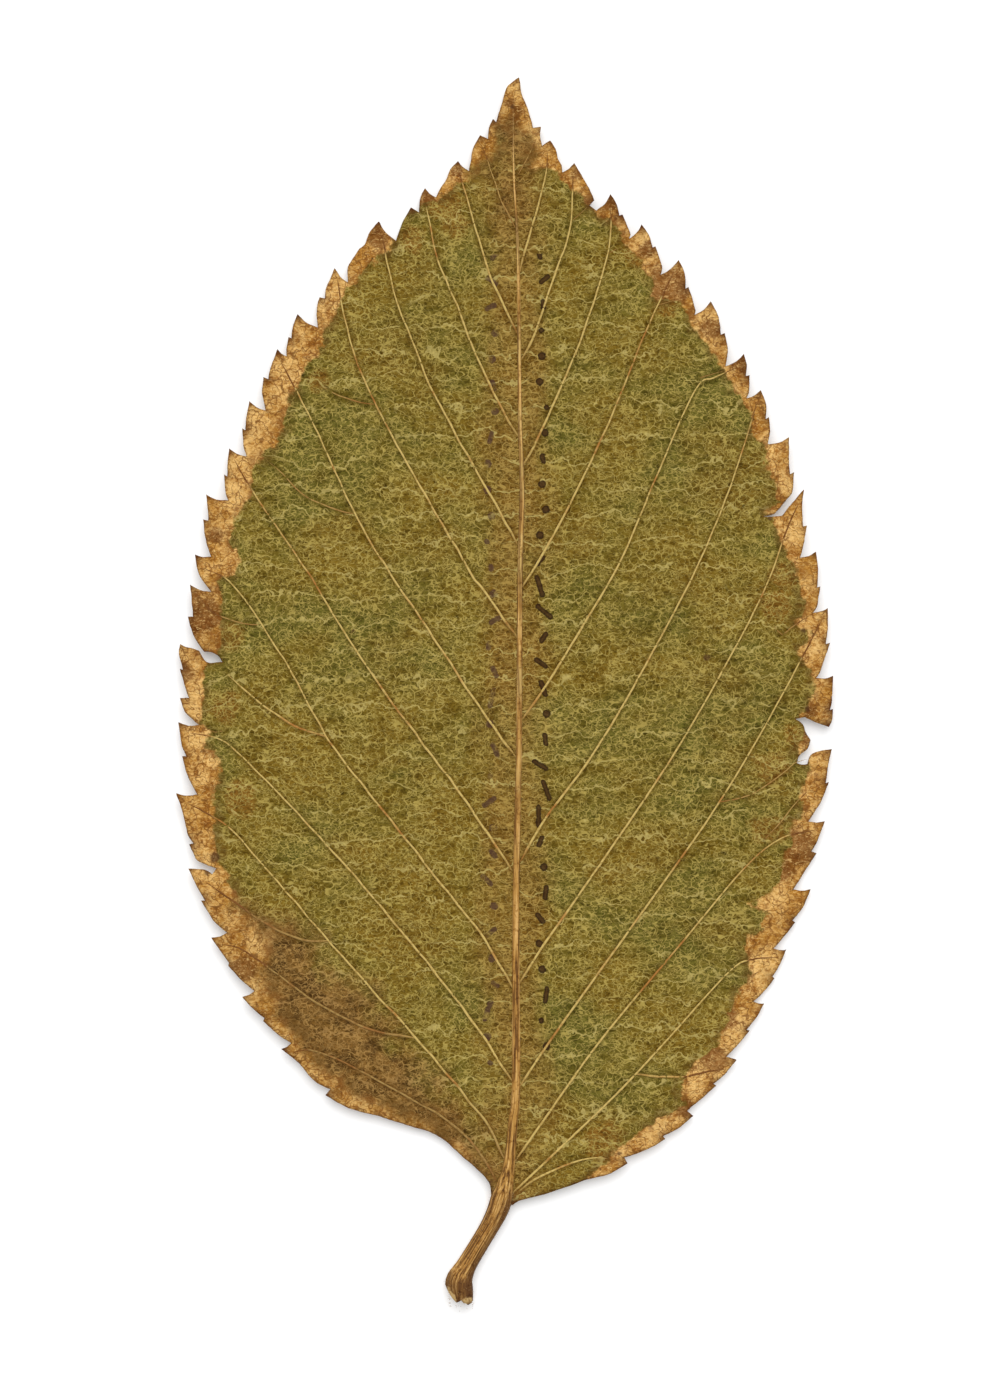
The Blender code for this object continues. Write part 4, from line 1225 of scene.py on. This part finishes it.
def stem_material():
    """Midrib and stalk: fibres along it, orange-brown in places, painted shade on the midrib's sides and the
    stalk's right side, a dark collar and a pale torn foot.
    """
    nodes = Nodes("midrib")
    place = nodes.place_mm()
    _, y = nodes.axes(place)
    stalk, end, girth = nodes.value("stalk"), nodes.value("end_mm"), nodes.value("girth")
    side_x, side_z = nodes.value("side_x"), nodes.value("side_z")
    stretched = (side_x * girth * 2.4, side_z * girth * 2.4, end * 0.16)
    fibres = nodes.add("ShaderNodeCombineXYZ", stretched).outputs[0]
    fibre = nodes.noise(fibres, 1.0, 3.0, 0.65)
    low = (plan(0, RIB_LOW_FROM_Y).y - y).step(0.0, 18.0)
    # The stalk's right side, where painted shade goes
    right = side_x * -1.0 + nodes.spread(fibres, 1.0, 2.0, 0.9)
    tip = (plan(0, RIB_TIP_TO_Y).y - y).step(1.0, -4.0)
    from_end = end + nodes.spread(place, 0.9, 3.0, 2.0)
    torn = nodes.value("torn") + nodes.spread(place, 1.8, 3.0, 0.7)
    colour = nodes.tint(
        RIB,
        (RIB_ORANGE, nodes.patchy(place, 0.16, 0.46, 0.58, 3.0, 0.6)),
        # Painted shade: the midrib's sides darker than its top
        (RIB_SIDE_SHADE, abs(side_x).step(0.45, 0.95) * 0.75),
        (RIB_LOW, low),
        (STALK, stalk),
        (DARK_FIBRE, fibre.step(0.50, 0.57) * (low * 0.3 + 0.6)),
        (PALE_FIBRE, fibre.step(0.46, 0.38) * 0.8),
        # Painted shade: the stalk darker on its right side
        (STALK_SHADE_RIGHT, right.step(0.15, 0.65) * stalk * 0.8),
        (RIB_TIP, tip * 0.5),
        (COLLAR, (1.0 - from_end.step(1.2, 3.2)) * 0.65),
        (TORN, torn.step(0.45, 0.75) * 0.85),
    )
    speck = nodes.noise(place, 2.2, 3.0, 0.7)
    colour = nodes.darken(colour, (0.62, 0.54, 0.42), speck.step(0.48, 0.36))
    nodes.bump(fibre + speck * 0.5, 0.8, 0.12)
    return nodes.finish(colour, 0.7, 0.12)


def hair_material():
    nodes = Nodes("leaf_hair")
    shade = nodes.noise(nodes.place_mm(), 1.2, 2.0)
    return nodes.finish(nodes.tint(DARK_HAIR, (PALE_HAIR, shade)), 0.8, 0.1)


def floor():
    """A plain pale floor under the leaf, glowing faintly: painted light that lightens the leaf's shadows on
    it.
    """
    bpy.ops.mesh.primitive_plane_add(size=FLOOR_SIZE * MM, location=(0, 0, -FLOOR_GAP * MM))
    ground = bpy.context.object
    ground.name = "floor"
    nodes = Nodes("floor")
    # Painted light: the floor glows a little, so the shadows on it are paler
    nodes.shader.inputs["Emission Color"].default_value = (1.0, 1.0, 1.0, 1.0)
    nodes.shader.inputs["Emission Strength"].default_value = FLOOR_GLOW
    ground.data.materials.append(nodes.finish((FLOOR_SHADE, FLOOR_SHADE, FLOOR_SHADE, 1.0), 0.95, 0.0))


def lights():
    """A pale studio all round and one large soft light above the leaf's upper end."""
    scene = bpy.context.scene
    scene.world = bpy.data.worlds.new("studio")
    scene.world.use_nodes = True
    background = scene.world.node_tree.nodes["Background"]
    background.inputs[0].default_value = (1, 1, 1, 1)
    background.inputs[1].default_value = STUDIO_LIGHT
    sun = bpy.data.lights.new("key", "SUN")
    sun.energy = KEY_LIGHT
    sun.angle = KEY_WIDTH
    key = bpy.data.objects.new("key", sun)
    key.rotation_euler = Vector(KEY_FROM).to_track_quat("Z", "Y").to_euler()
    scene.collection.objects.link(key)
    scene.view_settings.view_transform = "Standard"


def camera():
    """The photograph's view, from straight above."""
    scene = bpy.context.scene
    data = bpy.data.cameras.new("camera")
    data.lens = CAMERA_LENS
    data.sensor_width = CAMERA_SENSOR
    data.clip_start = 0.01
    view = bpy.data.objects.new("camera", data)
    distance = VIEW_LENGTH * CAMERA_LENS / CAMERA_SENSOR
    view.location = (*(plan(*VIEW_CENTRE) * MM), distance * MM)
    scene.collection.objects.link(view)
    scene.camera = view


def main():
    """Builds the scene and says what each piece rides on and replaces."""
    camera()
    lights()
    floor()
    outline = refined_edge(solid_edge())
    surface = Surface(outline, vein_plans(EDGE_STEP))
    line = stem_line(surface)
    pieces = (
        (blade(outline, surface, blade_material()), "dry_leaf"),
        (side_veins(surface, vein_material()), "dry_rib"),
        (midrib_and_stalk(line, stem_material()), "dry_rib"),
        (hairs(line, hair_material()), "dry_rib"),
    )
    for piece, name in pieces:
        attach(piece, "root")
        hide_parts(LEAF)


main()
